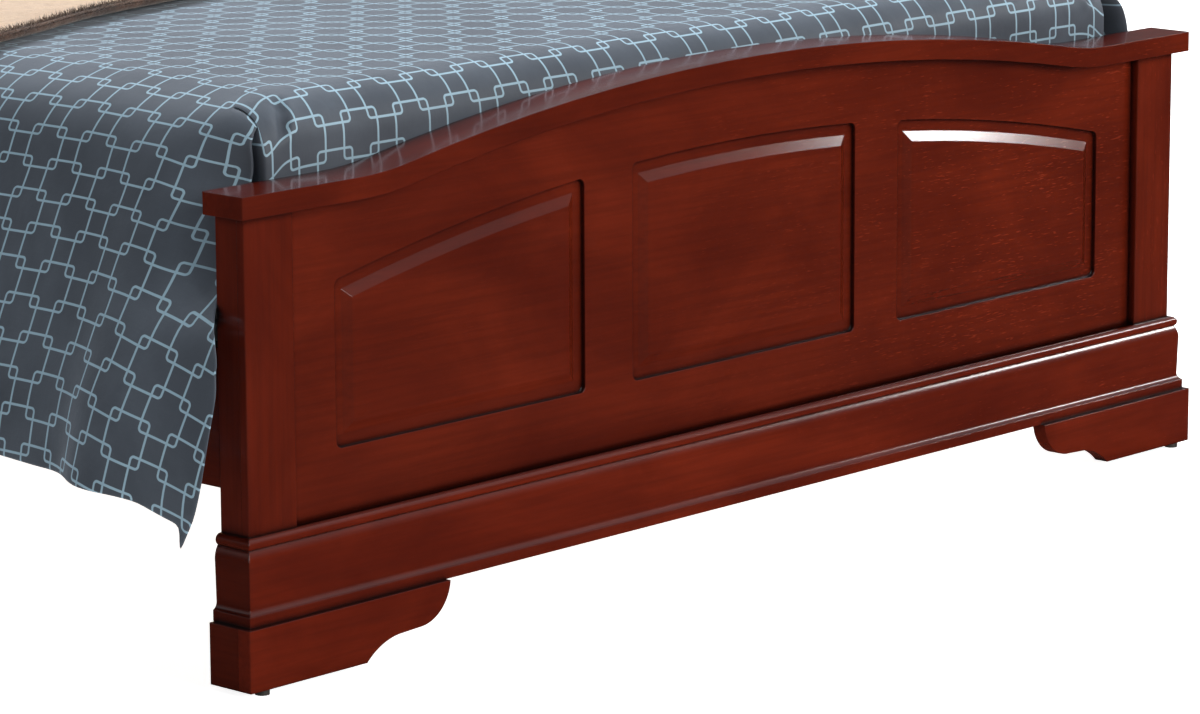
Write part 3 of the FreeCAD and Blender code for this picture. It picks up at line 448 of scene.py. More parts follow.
def weld(piece, distance=0.0001, least_area=0.0):
    """Joins points that lie together, drops slivers and turns the faces outwards, with the top one up."""
    work = bmesh.new()
    work.from_mesh(piece.data)
    bmesh.ops.remove_doubles(work, verts=work.verts, dist=distance)
    slivers = [face for face in work.faces if face.calc_area() < least_area]
    bmesh.ops.delete(work, geom=slivers, context="FACES")
    bmesh.ops.recalc_face_normals(work, faces=work.faces)
    middles = {face: face.calc_center_median() for face in work.faces}
    top_face = max(work.faces, key=lambda face: middles[face].z * 5 - abs(middles[face].x))
    if top_face.normal.z < 0:
        bmesh.ops.reverse_faces(work, faces=work.faces)
    work.to_mesh(piece.data)
    work.free()


def thicken(piece, thickness):
    """Gives a skin its thickness on the inner side and smooths it."""
    wall = piece.modifiers.new("wall", "SOLIDIFY")
    wall.thickness = thickness
    wall.offset = -1.0
    smooth = piece.modifiers.new("smooth", "SUBSURF")
    smooth.levels = 1
    smooth.render_levels = 1


def grow(piece, group, values):
    """Runs a geometry tree on a piece and keeps the result as the piece's plain mesh."""
    modifier = piece.modifiers.new("growth", "NODES")
    modifier.node_group = group
    for name, value in values.items():
        modifier[group.interface.items_tree[name].identifier] = value
    bpy.context.view_layer.update()
    ready = piece.evaluated_get(bpy.context.evaluated_depsgraph_get())
    mesh = bpy.data.meshes.new_from_object(ready)
    mesh.name = piece.name
    piece.modifiers.remove(modifier)
    old = piece.data
    piece.data = mesh
    bpy.data.meshes.remove(old)


def stand_in(piece, node, body):
    """Shows a piece in place of a node, riding on a body."""
    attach(piece, body)
    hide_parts(node)


# ======== camera, floor and light
CAMERA_PLACE = (-4.33070, -4.84111, 1.41197)
CAMERA_YAW = 0.8244
CAMERA_PITCH = 0.2021
CAMERA_ROLL = -0.0044
LENS_LENGTH = 153.03
FLOOR_HALF = 14.0


def set_camera():
    """The photograph's view: the same place, direction and focal length."""
    flat = math.cos(CAMERA_PITCH)
    ahead = Vector((math.sin(CAMERA_YAW) * flat, math.cos(CAMERA_YAW) * flat, -math.sin(CAMERA_PITCH)))
    level = Vector((math.cos(CAMERA_YAW), -math.sin(CAMERA_YAW), 0.0))
    upward = level.cross(ahead)
    right = level * math.cos(CAMERA_ROLL) + upward * math.sin(CAMERA_ROLL)
    top = upward * math.cos(CAMERA_ROLL) - level * math.sin(CAMERA_ROLL)
    data = bpy.data.cameras.new("camera")
    data.sensor_fit = "HORIZONTAL"
    data.sensor_width = 36.0
    data.lens = LENS_LENGTH
    data.clip_end = 100.0
    camera = add_object("camera", data)
    turned = Matrix((right, top, -ahead)).transposed().to_4x4()
    camera.matrix_world = Matrix.Translation(CAMERA_PLACE) @ turned
    bpy.context.scene.camera = camera


def add_light(name, place, target, size, power, tint):
    data = bpy.data.lights.new(name, "AREA")
    data.shape = "RECTANGLE"
    data.size, data.size_y = size
    data.energy = power
    data.color = tint
    light = add_object(name, data)
    light.location = place
    light.rotation_mode = "QUATERNION"
    light.rotation_quaternion = (Vector(target) - Vector(place)).to_track_quat("-Z", "Y")
    return light


def set_stage():
    """White surroundings, a white floor that gives little light, and three lights."""
    world = bpy.data.worlds.new("studio")
    world.use_nodes = True
    tree = Tree(world.node_tree)
    ray = tree.put("ShaderNodeLightPath").outputs
    high = tree.part(tree.put("ShaderNodeTexCoord").outputs["Generated"], "Z")
    mirrored = tree.times(tree.between(high, 0.0, 0.75, 0.02, 0.85), ray["Is Glossy Ray"])
    level = tree.plus(mirrored, tree.times(tree.minus(1.0, ray["Is Glossy Ray"]), 0.09))
    around = tree.put("ShaderNodeBackground", {"Color": (0.95, 0.96, 1.0, 1.0), "Strength": level})
    behind = tree.put("ShaderNodeBackground", {"Color": WHITE, "Strength": 1.0})
    either = tree.put("ShaderNodeMixShader", {0: ray["Is Camera Ray"], 1: around.outputs[0],
                                              2: behind.outputs[0]})
    tree.put("ShaderNodeOutputWorld", {"Surface": either.outputs[0]})
    bpy.context.scene.world = world

    tree = blank_tree("pale_floor")
    mottle = tree.cloud(tree.place(), 1.2, 3.0)
    seen = tree.put("ShaderNodeLightPath").outputs["Is Camera Ray"]
    pale_floor = finished(tree, tree.blend(mottle, (0.93, 0.93, 0.93, 1.0), (0.9, 0.9, 0.9, 1.0)), 0.9, (),
                          {"Specular IOR Level": 0.1, "Emission Color": WHITE,
                           "Emission Strength": tree.plus(0.42, tree.times(seen, 0.5))})
    corners = [(x * FLOOR_HALF, y * FLOOR_HALF, 0) for x, y in ((-1, -1), (1, -1), (1, 1), (-1, 1))]
    floor = add_piece("floor", corners, [(0, 1, 2, 3)], pale_floor, smooth=False)
    floor.visible_glossy = False
    add_light("glint", (4.0, -3.08, 1.86), (0.55, -1.07, 0.5), (0.65, 0.4), 34.0, (1.0, 0.99, 0.98))
    add_light("front", (0.2, -6.6, 2.4), (0.0, -1.0, 0.3), (3.4, 2.6), 232.0, (1.0, 0.98, 0.95))
    sky = add_light("sky", (1.6, 1.3, 4.6), (0.0, -0.1, 0.4), (5.0, 5.0), 470.0, (0.96, 0.98, 1.0))
    sky.visible_glossy = False
    bpy.context.scene.view_settings.view_transform = "Standard"
    bpy.context.scene.view_settings.look = "None"


set_camera()
set_stage()


# ======== finishes of the rigid nodes
def dress(material, *names):
    """Gives nodes their material. A name that ends in _ stands for its left and its right node."""
    for name in names:
        for node in ((name + "left", name + "right") if name.endswith("_") else (name,)):
            thing = nodes[node]
            if not thing.material_slots:
                thing.data.materials.append(material)
            for slot in thing.material_slots:
                slot.material = material


for board in ("footboard", "headboard"):
    dress(cap_cherry, board + "_cap")
    dress(panel_cherry, board + "_panel")
    dress(glide_plastic, board + "_glides")
    dress(post_cherry, board + "_post_")
    dress(strip_cherry, board + "_pilaster_")
dress(panel_cherry, "footboard_bottom_rail", "footboard_plinth_backing", "headboard_lower_rail")
dress(return_cherry, "footboard_plinth_return_", "foot_bracket_side_")
dress(plinth_cherry, "footboard_plinth_front", "foot_bracket_front_")
dress(rail_cherry, "side_rail_")
dress(pine_along, "slat_cleat_", "centre_beam")
dress(pine_across, *["slat_%02d" % number for number in range(1, 12)])
dress(pine_up, "footboard_glue_blocks", *["centre_leg_%d" % number for number in range(1, 4)])
dress(zinc, "rail_hook_plates", "post_strike_plates", "beam_hangers",
      *["leg_leveller_%d" % number for number in range(1, 4)])
dress(brass, "leg_thread_inserts")


# ======== geometry trees
@made_by_recipe("GeometryNodeTree", {"Geometry": "Geometry", "Cord Radius": 0.006, "Sides": 10, "Step": 0.012,
                                     "Cloth": "Material"}, ["Geometry"])
def piping(tree, given):
    """A round cord along every edge."""
    path = tree.put("GeometryNodeMeshToCurve", {"Mesh": given["Geometry"]})
    even = tree.put("GeometryNodeResampleCurve", {"Curve": path.outputs[0], "Length": given["Step"]},
                    mode="LENGTH")
    ring = tree.put("GeometryNodeCurvePrimitiveCircle",
                    {"Resolution": given["Sides"], "Radius": given["Cord Radius"]})
    tube = tree.put("GeometryNodeCurveToMesh", {"Curve": even.outputs[0], "Profile Curve": ring.outputs[0]})
    return [tree.covered(tube.outputs[0], given["Cloth"])]


@made_by_recipe("GeometryNodeTree",
                {"Geometry": "Geometry", "Spacing": 0.0014, "Length": 0.008, "Thickness": 0.0007, "Spread": 0.55,
                 "Seed": 11, "Fibre": "Object", "Cloth": "Material"}, ["Geometry"])
def fuzzy_edge(tree, given):
    """Short bent fibres that stand on every edge of a strip, in a random but fixed order."""
    path = tree.put("GeometryNodeMeshToCurve", {"Mesh": given["Geometry"]})
    points = tree.put("GeometryNodeCurveToPoints", {"Curve": path.outputs[0], "Length": given["Spacing"]},
                      mode="LENGTH")
    lean = tree.put("FunctionNodeRandomValue",
                    {0: tree.scaled((-1.0, -1.0, -3.1), given["Spread"]),
                     1: tree.scaled((1.0, 1.0, 3.1), given["Spread"]), "Seed": given["Seed"]},
                    data_type="FLOAT_VECTOR")
    share = tree.put("FunctionNodeRandomValue", {2: 0.55, 3: 1.15, "Seed": given["Seed"]}, data_type="FLOAT")
    size = tree.put("ShaderNodeCombineXYZ", {"X": given["Thickness"], "Y": given["Thickness"],
                                             "Z": tree.times(share.outputs[1], given["Length"])})
    fuzz = tree.stood(points.outputs[0], given["Fibre"], "outward", lean.outputs[0], {"Scale": size.outputs[0]})
    return [tree.covered(fuzz, given["Cloth"])]


@made_by_recipe("GeometryNodeTree", {"Geometry": "Geometry", "Screw": "Object", "Seed": 3, "Metal": "Material"},
                ["Geometry"])
def set_of_screws(tree, given):
    """One screw on every point, with its tip along the point's aim and its head turned at random."""
    spin = tree.put("FunctionNodeRandomValue", {2: 0.0, 3: 1.57, "Seed": given["Seed"]}, data_type="FLOAT")
    about = tree.put("ShaderNodeCombineXYZ", {"Z": spin.outputs[1]})
    screws = tree.stood(given["Geometry"], given["Screw"], "aim", about.outputs[0])
    return [tree.covered(screws, given["Metal"])]


# ======== screws
HEAD_RADIUS = 0.0036
HEAD_DEPTH = 0.0019
SHANK_RADIUS = 0.0019
RECESS_RADIUS = 0.0011
RECESS_DEPTH = 0.0009
SCREW_SIDES = 12
HALF_TURNS = 14


def screw_pattern(length):
    """Countersunk cross-recess screw along +Z, its head's face at the origin."""
    rings = [(RECESS_RADIUS * 0.5, RECESS_DEPTH), (RECESS_RADIUS, RECESS_DEPTH), (RECESS_RADIUS * 1.25, 0.0),
             (HEAD_RADIUS, 0.0), (HEAD_RADIUS, 0.0003), (SHANK_RADIUS * 0.8, HEAD_DEPTH)]
    thread = length * 0.86 - HEAD_DEPTH
    for step in range(HALF_TURNS):
        rings.append((SHANK_RADIUS if step % 2 else SHANK_RADIUS * 0.72,
                      HEAD_DEPTH + thread * (step + 1) / HALF_TURNS))
    rings.append((0.0002, length))
    points = []
    for row, (radius, depth) in enumerate(rings):
        for corner in range(SCREW_SIDES):
            angle = 2 * math.pi * corner / SCREW_SIDES
            # the recess is a cross: long at every third corner, short between
            reach = radius * (1.7 if corner % 3 == 0 else 0.55) if row in (1, 2) else radius
            points.append((reach * math.cos(angle), reach * math.sin(angle), depth))
    faces = row_faces(len(rings), SCREW_SIDES)
    faces += [tuple(range(SCREW_SIDES)), tuple(range(len(points) - SCREW_SIDES, len(points)))]
    pattern = add_piece("screw_pattern", points, faces, zinc, smooth=False)
    weld(pattern, 0.00001)
    return pattern


def loose_solids(node):
    """Points of each separate solid of a node."""
    mesh = nodes[node].data
    numbers = {}
    shared = [numbers.setdefault(tuple(round(level, 5) for level in vertex.co), len(numbers))
              for vertex in mesh.vertices]
    leader = list(range(len(numbers)))

    def top(item):
        while leader[item] != item:
            leader[item] = leader[leader[item]]
            item = leader[item]
        return item

    for face in mesh.polygons:
        for vertex in face.vertices:
            leader[top(shared[vertex])] = top(shared[face.vertices[0]])
    solids = {}
    for place, number in numbers.items():
        solids.setdefault(top(number), []).append(Vector(place))
    return solids.values()


def set_screws(node):
    """Replaces a node of plain screws by screws with recessed heads and threads, at the same places."""
    points, aims = [], []
    for solid in loose_solids(node):
        low, high = (Vector([pick(corner[axis] for corner in solid) for axis in range(3)])
                     for pick in (min, max))
        size = high - low
        axis = max(range(3), key=lambda number: size[number])
        point = (low + high) / 2

        def width_at(level):
            return max((math.hypot(*[corner[other] - point[other] for other in range(3) if other != axis])
                        for corner in solid if abs(corner[axis] - level) < 1e-4), default=0.0)

        head_is_low = width_at(low[axis]) > width_at(high[axis])
        point[axis] = low[axis] if head_is_low else high[axis]
        aim = Vector((0.0, 0.0, 0.0))
        aim[axis] = 1.0 if head_is_low else -1.0
        points.append(point)
        aims.append(aim)
    piece = add_path(node + "_set", points, mark="aim", vectors=aims)
    pattern = screw_pattern(size[axis])
    grow(piece, set_of_screws, {"Screw": pattern, "Seed": 3, "Metal": zinc})
    bpy.data.objects.remove(pattern)
    stand_in(piece, node, "frame")


for screw_node in ("rail_plate_screws", "cleat_screws", "slat_screws", "beam_hanger_screws"):
    set_screws(screw_node)


# ======== mattress and box spring
def rounded_ring(node, draw, height, corner, steps=6, straight=8):
    """Closed rounded rectangle, drawn in from a node's box, with the same number of points at every size."""
    low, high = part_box(node)
    half_x, half_y = (high.x - low.x) / 2 - draw, (high.y - low.y) / 2 - draw
    corner = max(0.001, min(corner, half_x - 0.001, half_y - 0.001))
    arcs = []
    for sign_x, sign_y, start in ((1, 1, 0.0), (-1, 1, 90.0), (-1, -1, 180.0), (1, -1, 270.0)):
        centre = Vector((sign_x * (half_x - corner), (high.y + low.y) / 2 + sign_y * (half_y - corner), height))
        angles = [math.radians(start + 90.0 * step / steps) for step in range(steps + 1)]
        arcs.append([centre + corner * Vector((math.cos(angle), math.sin(angle), 0.0)) for angle in angles])
    ring = []
    for arc, after in zip(arcs, arcs[1:] + arcs[:1]):
        ring += arc + [arc[-1].lerp(after[0], part / straight) for part in range(1, straight)]
    return ring


def padded_block(node, corner, levels, material):
    """Closed padded block inside a node's box. Levels are (drawn in, height)."""
    rings = [rounded_ring(node, draw, height, corner) for draw, height in levels]
    points = [point for ring in rings for point in ring]
    count = len(rings[0])
    faces = row_faces(len(rings), count)
    faces += [tuple(reversed(range(count))), tuple(range(len(points) - count, len(points)))]
    piece = add_piece(node + "_pad", points, faces, material)
    weld(piece)
    stand_in(piece, node, node)


def bulge(draw, low, high, shares):
    """Levels of a side that is drawn in most at half its height."""
    return [(draw + 0.004 * math.sin(math.pi * share), low + (high - low) * share) for share in shares]


def tape_edge(end, node, draw, height, corner, radius):
    """Piped tape that follows the edge of a padded block."""
    ring = rounded_ring(node, draw, height, corner, steps=8, straight=20)
    edges = [(number, (number + 1) % len(ring)) for number in range(len(ring))]
    piece = add_path(node + "_tape_" + end, ring, edges)
    grow(piece, piping, {"Cord Radius": radius, "Sides": 8, "Step": 0.02, "Cloth": tape_cloth})
    for face in piece.data.polygons:
        face.use_smooth = True
    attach(piece, node)


MATTRESS_CORNER = 0.12
MATTRESS_EDGE = 0.099
SPRING_CORNER = 0.045


def make_mattress():
    """Soft block with a well rounded top edge, a slight crown and two piped tapes."""
    low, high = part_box("mattress")
    top = high.z - 0.008
    levels = [(0.034, low.z + 0.001), (0.018, low.z + 0.001), (0.008, low.z + 0.010), (0.007, low.z + 0.022)]
    levels += bulge(0.007, low.z, top, (0.25, 0.38, 0.48))
    for step in range(9):
        angle = math.radians(90.0 * step / 8)
        levels.append((0.009 + MATTRESS_EDGE * (1 - math.cos(angle)),
                       top - 0.002 - MATTRESS_EDGE * (1 - math.sin(angle))))
    levels += [(draw, top + rise) for draw, rise in (
        (0.16, 0.001), (0.26, 0.003), (0.38, 0.005), (0.52, 0.0058), (0.66, 0.006), (0.74, 0.006))]
    padded_block("mattress", MATTRESS_CORNER, levels, mattress_ticking)
    tape_edge("low", "mattress", 0.0115, low.z + 0.016, MATTRESS_CORNER, 0.0055)
    tape_edge("top", "mattress", 0.0215, top - 0.052, MATTRESS_CORNER, 0.0050)


def make_box_spring():
    """Firm block with straight sides, a flat top and two piped tapes."""
    low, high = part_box("box_spring")
    levels = [(0.020, low.z + 0.0008), (0.006, low.z + 0.0008), (0.002, low.z + 0.006), (0.002, low.z + 0.016)]
    levels += bulge(0.002, low.z, high.z, (0.25, 0.5, 0.75))
    levels += [(draw, high.z - under) for draw, under in (
        (0.002, 0.016), (0.003, 0.006), (0.008, 0.0015), (0.020, 0.0008), (0.30, 0.0006), (0.74, 0.0005))]
    padded_block("box_spring", SPRING_CORNER, levels, border_ticking)
    for end, height in (("low", low.z + 0.010), ("top", high.z - 0.010)):
        tape_edge(end, "box_spring", 0.0055, height, SPRING_CORNER, 0.005)


make_mattress()
make_box_spring()


# ======== the bedding's surface
# A run is measured along the cloth from the flat top's edge. Tables by y; by x, with the drop; by height above
# the floor, both FRONT ones; by run, FOLD_REACH and PRINT_DRIFT; HEM_HEIGHT by the way from the front edge.
TOP_HEIGHT = [
    (-1.03, 0.6130), (-0.97, 0.6130), (-0.80, 0.6180), (-0.62, 0.6170), (-0.36, 0.6120), (0.0, 0.6095),
    (1.02, 0.6075)]
SHOULDER_LINE = [
    (0.600, 0.0), (0.640, -0.0003), (0.677, -0.0020), (0.713, -0.0120), (0.746, -0.0295), (0.770, -0.0565),
    (0.782, -0.0910), (0.792, -0.1270), (0.802, -0.1620), (0.815, -0.1990), (0.828, -0.2360), (0.840, -0.2720),
    (0.8525, -0.3090), (0.861, -0.3460), (0.867, -0.3855), (0.872, -0.4300), (0.878, -0.5000)]
FRONT_SHIFT = [
    (0.380, 0.0), (0.392, 0.006), (0.405, 0.018), (0.425, 0.034), (0.445, 0.038), (0.495, 0.042),
    (0.520, 0.048), (0.535, 0.050), (0.548, 0.046), (0.562, 0.034), (0.580, 0.016), (0.600, 0.004),
    (0.613, 0.0)]
FRONT_RUN_ON = [
    (0.165, 0.036), (0.194, 0.054), (0.229, 0.062), (0.278, 0.065), (0.320, 0.065), (0.356, 0.055),
    (0.382, 0.039), (0.405, 0.014), (0.425, 0.004), (0.440, 0.0)]
FOLD_REACH = [
    (0.19, 0.0), (0.233, 0.006), (0.312, 0.012), (0.351, 0.015), (0.390, 0.019), (0.429, 0.0245),
    (0.468, 0.029), (0.507, 0.032), (0.546, 0.038)]
HEM_HEIGHT = [
    (0.0, 0.160), (0.006, 0.189), (0.020, 0.198), (0.034, 0.2095), (0.052, 0.214), (0.0775, 0.2155),
    (0.129, 0.218), (0.198, 0.216), (0.245, 0.219), (0.400, 0.222), (0.600, 0.224)]
PRINT_DRIFT = [
    (0.0, 0.0), (0.077, -0.010), (0.155, -0.008), (0.233, 0.0), (0.272, 0.010), (0.312, 0.0155), (0.351, 0.019),
    (0.390, 0.024), (0.429, 0.0285), (0.468, 0.033), (0.507, 0.036), (0.546, 0.038)]
FOOT_BEND = 0.052
FOOT_PLANE = -1.0285
BEND_START = FOOT_PLANE + FOOT_BEND
FLAT_HALF = 0.600
FRONT_EDGE_Y = -1.0190
COVER_HEAD_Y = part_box("coverlet")[1].y
HEM_WAVE_LENGTH = 0.603
HEM_WAVE_HEIGHT = 0.005
# For the left drop (-1) and the right drop (1).
DROP_PHASE = {-1: 0.0, 1: 1.7}
FOLD_PLACE = {-1: -0.937, 1: -0.869}
FOLD_SHARE = {-1: 1.0, 1: 0.75}


def side_of(p):
    return -1.0 if p < 0 else 1.0


def soft_step(value, low, high):
    share = min(1.0, max(0.0, (value - low) / (high - low)))
    return share * share * (3 - 2 * share)


def fade(distance, reach, power=2):
    """One at no distance, and next to nothing well beyond the reach."""
    return math.exp(-(abs(distance) / reach) ** power)


def smooth_points(points, parts):
    """Points along a smooth line through the given ones."""
    ends = [Vector(point) for point in [points[0], *points, points[-1]]]
    line = []
    for a, b, c, d in zip(ends, ends[1:], ends[2:], ends[3:]):
        for part in range(parts):
            t = part / parts
            line.append(0.5 * ((2 * b) + (c - a) * t + (2 * a - 5 * b + 4 * c - d) * t * t
                               + (3 * b - a - 3 * c + d) * t ** 3))
    return line + [ends[-1]]


side_line = smooth_points(SHOULDER_LINE, 8)
side_runs = [0.0]
for before, after in zip(side_line, side_line[1:]):
    side_runs.append(side_runs[-1] + (after - before).length)


def along_side(run):
    """(x, drop) of the side at a run."""
    if run <= 0:
        return FLAT_HALF + run, 0.0
    run = min(run, side_runs[-1])
    low = min(bisect.bisect_right(side_runs, run) - 1, len(side_runs) - 2)
    share = (run - side_runs[low]) / (side_runs[low + 1] - side_runs[low])
    return tuple(side_line[low].lerp(side_line[low + 1], share))


def side_run_at(drop):
    """Run at which the side is a given distance below the flat top."""
    return line_value([(-point.y, run) for point, run in zip(side_line, side_runs)], drop)


def line_value(points, at):
    """Value at a place on a line of (place, value) corners."""
    if at <= points[0][0]:
        return points[0][1]
    for (x0, y0), (x1, y1) in zip(points, points[1:]):
        if at <= x1:
            return y0 + (y1 - y0) * (at - x0) / (x1 - x0)
    return points[-1][1]


def hem_height(y, side):
    beyond = y - FRONT_EDGE_Y
    wave = math.sin(2 * math.pi * beyond / HEM_WAVE_LENGTH + DROP_PHASE[side]) * soft_step(beyond, 0.2, 0.6)
    return line_value(HEM_HEIGHT, beyond) + HEM_WAVE_HEIGHT * wave


def bed_place(p, q, offset=0.0, free_edge=True):
    """Where the flat cloth's point (p across, q along) lies on the made bed, raised by an offset.

    q is 0 where the top starts to bend down at the foot. p is measured from the middle.
    """
    side = side_of(p)
    run = abs(p) - FLAT_HALF
    x, drop = along_side(run)
    y = BEND_START + q
    z = line_value(TOP_HEIGHT, y) + drop
    if q < 0:
        # the foot end bends down, but not the side drops, which hang free of it
        held = 1.0 - soft_step(run, 0.12, 0.19)
        angle = min(-q / FOOT_BEND, math.pi / 2)
        y = (BEND_START - FOOT_BEND * math.sin(angle)) * held + y * (1 - held)
        z -= (FOOT_BEND * (1 - math.cos(angle)) + max(0.0, -q - FOOT_BEND * math.pi / 2)) * held
    beyond = y - FRONT_EDGE_Y
    from_edge = max(0.0, beyond)
    if run > 0:
        # one broad fold near the foot and low waves further on
        fold = line_value(FOLD_REACH, run) * FOLD_SHARE[side] * fade(y - FOLD_PLACE[side], 0.058, 2.5)
        wave = math.sin(2 * math.pi * (beyond - 0.30) / 0.52 + DROP_PHASE[side]) * soft_step(beyond, 0.22, 0.42)
        x += fold + 0.014 * wave * min(1.0, max(0.0, (run - 0.20) / 0.33))
        if free_edge and side > 0:
            back = fade(from_edge, 0.05, 1) * soft_step(run, 0.2, 0.4)
            x -= 0.010 * back
            y += 0.018 * back
        elif free_edge:
            x -= line_value(FRONT_SHIFT, z) * fade(from_edge, 0.042, 1.5) * soft_step(run, 0.12, 0.15)
            y -= line_value(FRONT_RUN_ON, z) * fade(from_edge, 0.03, 1) * soft_step(run, 0.2, 0.3)
    ripple = noise.noise(Vector((x * side * 5.0 + side, y * 5.0, z * 5.0))) * 0.0016
    ripple += noise.noise(Vector((x * 17.0, y * 17.0 + side, z * 17.0))) * 0.0006
    if run <= 0.05:
        z += ripple
    else:
        x += ripple
    place = Vector((side * x, y, z))
    if offset:
        step = 0.004
        across = bed_place(p + step, q, 0.0, free_edge) - bed_place(p - step, q, 0.0, free_edge)
        along = bed_place(p, q + step, 0.0, free_edge) - bed_place(p, q - step, 0.0, free_edge)
        place += across.cross(along).normalized() * offset
    return place


def corner_pleat(p, q, place):
    """Draws a short slanting pleat into the cloth where the foot's corner turns down."""
    ahead = Vector((abs(p) - 0.672, -q - 0.018))
    line = Vector((0.45, 1.0)).normalized()
    along = ahead.dot(line)
    aside = ahead.x * line.y - ahead.y * line.x
    depth = 0.011 * soft_step(along, 0.0, 0.022) * (1 - soft_step(along, 0.045, 0.060)) * fade(aside, 0.0055)
    lip = 0.004 * fade(aside + 0.012, 0.006) * soft_step(along, 0.005, 0.03) * (1 - soft_step(along, 0.050, 0.062))
    return place + Vector((-side_of(p) * 0.4 * depth, 0.75 * depth - lip, 0.5 * lip - 0.55 * depth))


# ======== coverlet
SEAM_RUN = 0.118
TUCK_LENGTH = 0.312
DROP_COLUMNS = 26


def print_place(p, q, place):
    """Where the print lies on the cloth: pulled a little out of true where the side drops hang."""
    run = abs(p) - FLAT_HALF
    y = place[1]
    dip = 0.034 * max(0.0, (-0.925 - y) / 0.13) ** 1.2 * soft_step(run, 0.12, 0.20)
    longer = 0.014 * soft_step(run, 0.16, 0.32)
    drift = line_value(PRINT_DRIFT, run) * (1.0 - soft_step(y, -0.6, 0.1))
    drift += 0.014 * soft_step(-y, 0.95, 1.05) * soft_step(run, 0.43, 0.56)
    shown_y = q if run < SEAM_RUN + 0.001 else y - BEND_START
    pulled = max(soft_step(run, SEAM_RUN - 0.03, SEAM_RUN), soft_step(q, 0.0, 0.04))
    return p - side_of(p) * (dip - longer), shown_y - drift * pulled


def drop_columns(q, side):
    """Flat places from the seam to the hem of one side drop."""
    y = max(FRONT_EDGE_Y, BEND_START + q)
    length = side_run_at(line_value(TOP_HEIGHT, y) - hem_height(y, side)) - SEAM_RUN
    return [side * (FLAT_HALF + SEAM_RUN + length * step / DROP_COLUMNS) for step in range(DROP_COLUMNS + 1)]


def coverlet_grids():
    """Grids of (place, flat place): the top with its side drops, the tucked foot end and both front edges."""
    half_top = [FLAT_HALF * step / 15 for step in range(16)]
    half_top += [FLAT_HALF + run for run in (0.020, 0.038, 0.054, 0.064, 0.072, 0.080, 0.088, 0.096, 0.103, 0.110,
                                             SEAM_RUN)]
    columns = [-p for p in reversed(half_top[1:])] + half_top

    def laid(p, q):
        place = bed_place(p, q)
        return place, print_place(p, q, place)

    head_q = COVER_HEAD_Y - BEND_START
    qs, step = [0.0], 0.012
    while qs[-1] + step < head_q - 0.01:
        qs.append(qs[-1] + step)
        step = min(step * 1.12, 0.034)
    yield [[laid(p, q) for p in drop_columns(q, -1)[::-1] + columns[1:-1] + drop_columns(q, 1)]
           for q in qs + [head_q]]

    # the foot end bends down and is tucked behind the footboard
    rows = []
    for q in [-0.006 * step for step in range(17)] + [-0.1025, -0.112, -0.122, -0.135, -0.15, -0.175, -0.21, -0.26,
                                                      -TUCK_LENGTH]:
        split = soft_step(-q, 0.040, 0.062)
        places = [corner_pleat(p, q, bed_place(p, q)) for p in columns]
        row = [(place, print_place(p, q, place)) for p, place in zip(columns, places)]
        for side, edge in ((-1, places[0]), (1, places[-1])):
            border = [(edge + Vector((side * out, back, 0.0)) * split,
                       (side * (FLAT_HALF + SEAM_RUN + out + back), q + 0.009))
                      for out, back in ((0.0025, 0.001), (0.004, 0.004), (0.0045, 0.012), (0.004, 0.040))]
            row = border[::-1] + row if side < 0 else row + border
        rows.insert(0, row)
    yield rows

    # the side drops run on past the corner and end in a free front edge
    front_q = FRONT_EDGE_Y - BEND_START
    for side in (-1, 1):
        rows = [[laid(p, q) for p in drop_columns(q, side)] for q in
                [front_q + on for on in (0.0, 0.0025, 0.006, 0.011, 0.017, 0.024, 0.033)] + [0.0]]
        folded = [[(place + Vector((-side * inward, back, 0.0)) * soft_step(place.z, 0.345, 0.37),
                    (flat[0], flat[1] - inward)) for place, flat in rows[0]]
                  for inward, back in ((0.016, 0.040), (0.012, 0.020), (0.008, 0.006), (0.003, 0.0005))]
        yield [row[::side] for row in folded + rows]


def make_coverlet():
    piece = add_cloth("coverlet_cloth", coverlet_grids(), slate_sateen)
    weld(piece, 0.00005, least_area=1e-9)
    thicken(piece, 0.0028)
    layer = piece.data.uv_layers["cloth"].data
    width = 2 * max(abs(entry.uv.x) for entry in layer)
    stand_in(piece, "coverlet", "coverlet")


make_coverlet()


# ======== throw
THROW_LENGTH = 2.286
THROW_WIDTH = 1.016
THROW_HALF = THROW_LENGTH / 2 - 0.004
THROW_SLOPE = math.tan(math.radians(12.6))
THROW_FRONT_Y = -0.35925
THROW_GAP = 0.0125
THROW_COLUMNS = 92
THROW_ROWS = 40
BORDER_STEP = 0.02
ROLL_SIDES = 8
FUZZ_ROWS = 4


def throw_place(a, b, lift=0.0):
    """Where the throw's flat point (a along its length, b across it) lies over the coverlet."""
    # the front edge bows towards the foot left of the middle
    q = THROW_FRONT_Y + a * THROW_SLOPE + b - BEND_START - 0.040 * fade(a + 0.66, 0.15)
    return bed_place(a, q, THROW_GAP + lift, free_edge=False)


def make_throw():
    def laid(a, b):
        lift = 0.0025 * noise.noise(Vector((a * 7.0, b * 7.0, 3.0)))
        lift += 0.004 * max(0.0, 1 - min(b, THROW_WIDTH - b) / 0.02)
        return throw_place(a, b, lift), (a, b)

    rows = [[laid(-THROW_HALF + 2 * THROW_HALF * column / THROW_COLUMNS, THROW_WIDTH * row / THROW_ROWS)
             for column in range(THROW_COLUMNS + 1)] for row in range(THROW_ROWS + 1)]
    piece = add_cloth("throw_fleece", [rows], tan_fleece)
    thicken(piece, 0.0075)
    return piece


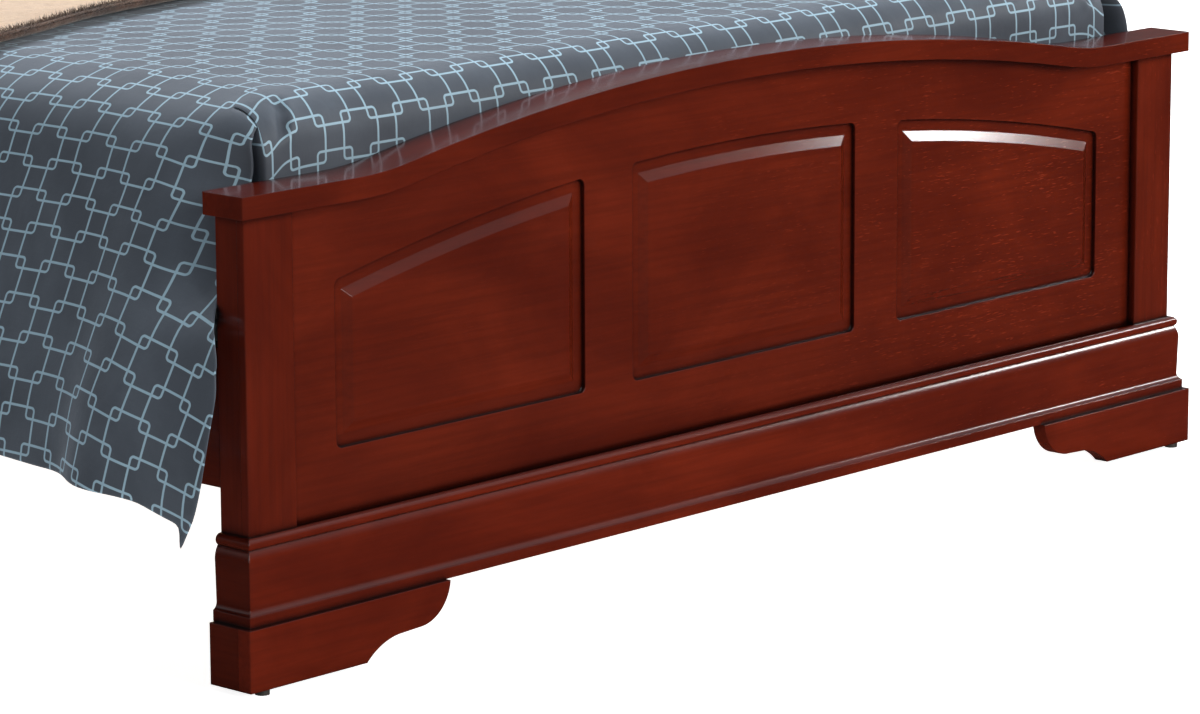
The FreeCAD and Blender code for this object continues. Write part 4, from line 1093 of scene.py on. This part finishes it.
def fibre_pattern():
    """One slim three-sided fibre of unit size along +Z."""
    points = [(0.5, 0.0, 0.0), (-0.25, 0.43, 0.0), (-0.25, -0.43, 0.0),
              (0.75, 0.2, 0.55), (0.1, 0.5, 0.55), (0.1, -0.2, 0.55), (1.2, 0.6, 1.0)]
    faces = [(0, 2, 1), (0, 1, 4, 3), (1, 2, 5, 4), (2, 0, 3, 5), (3, 4, 6), (4, 5, 6), (5, 3, 6)]
    return add_piece("fibre_pattern", points, faces, brown_edge)


def throw_border():
    """Flat places round the throw's edge with the way that points out of it."""
    corners = [Vector(corner) for corner in ((-THROW_HALF, 0.0), (THROW_HALF, 0.0), (THROW_HALF, THROW_WIDTH),
                                             (-THROW_HALF, THROW_WIDTH))]
    outs = [Vector(out) for out in ((0.0, -1.0), (1.0, 0.0), (0.0, 1.0), (-1.0, 0.0))]
    border = []
    for start, end, out in zip(corners, corners[1:] + corners[:1], outs):
        count = int((end - start).length / BORDER_STEP)
        border += [(start.lerp(end, step / count), out) for step in range(count)]
    return border


def make_throw_edge():
    """Dark fuzzy binding round the throw: a rolled edge with several rows of fibres."""
    border = throw_border()
    count = len(border)

    def around(flat, out, angle, reach, rise):
        a, b = flat + out * reach * math.cos(angle)
        return throw_place(a, b, 0.0005 + rise * math.sin(angle))

    points = [around(flat, out, 2 * math.pi * corner / ROLL_SIDES, 0.0075, 0.0058)
              for flat, out in border for corner in range(ROLL_SIDES)]
    roll = add_piece("throw_binding", points, row_faces(count, ROLL_SIDES, loop=True), brown_edge)
    weld(roll)
    roots, outwards, edges = [], [], []
    for row in range(FUZZ_ROWS):
        edges += [(row * count + number, row * count + (number + 1) % count) for number in range(count)]
        for flat, out in border:
            roots.append(around(flat, out, math.pi * (row + 0.5) / FUZZ_ROWS, 0.0070, 0.0054))
            outwards.append((roots[-1] - throw_place(*flat)).normalized())
    fuzz = add_path("throw_fuzz", roots, edges, "outward", outwards)
    pattern = fibre_pattern()
    grow(fuzz, fuzzy_edge, {"Spacing": 0.0014, "Length": 0.008, "Thickness": 0.0007, "Spread": 0.55,
                             "Seed": 11, "Fibre": pattern, "Cloth": brown_edge})
    bpy.data.objects.remove(pattern)
    return roll, fuzz


throw_fleece = make_throw()
throw_binding, throw_fuzz = make_throw_edge()
for piece in (throw_fleece, throw_binding, throw_fuzz):
    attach(piece, "throw_blanket")
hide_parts("throw_blanket")
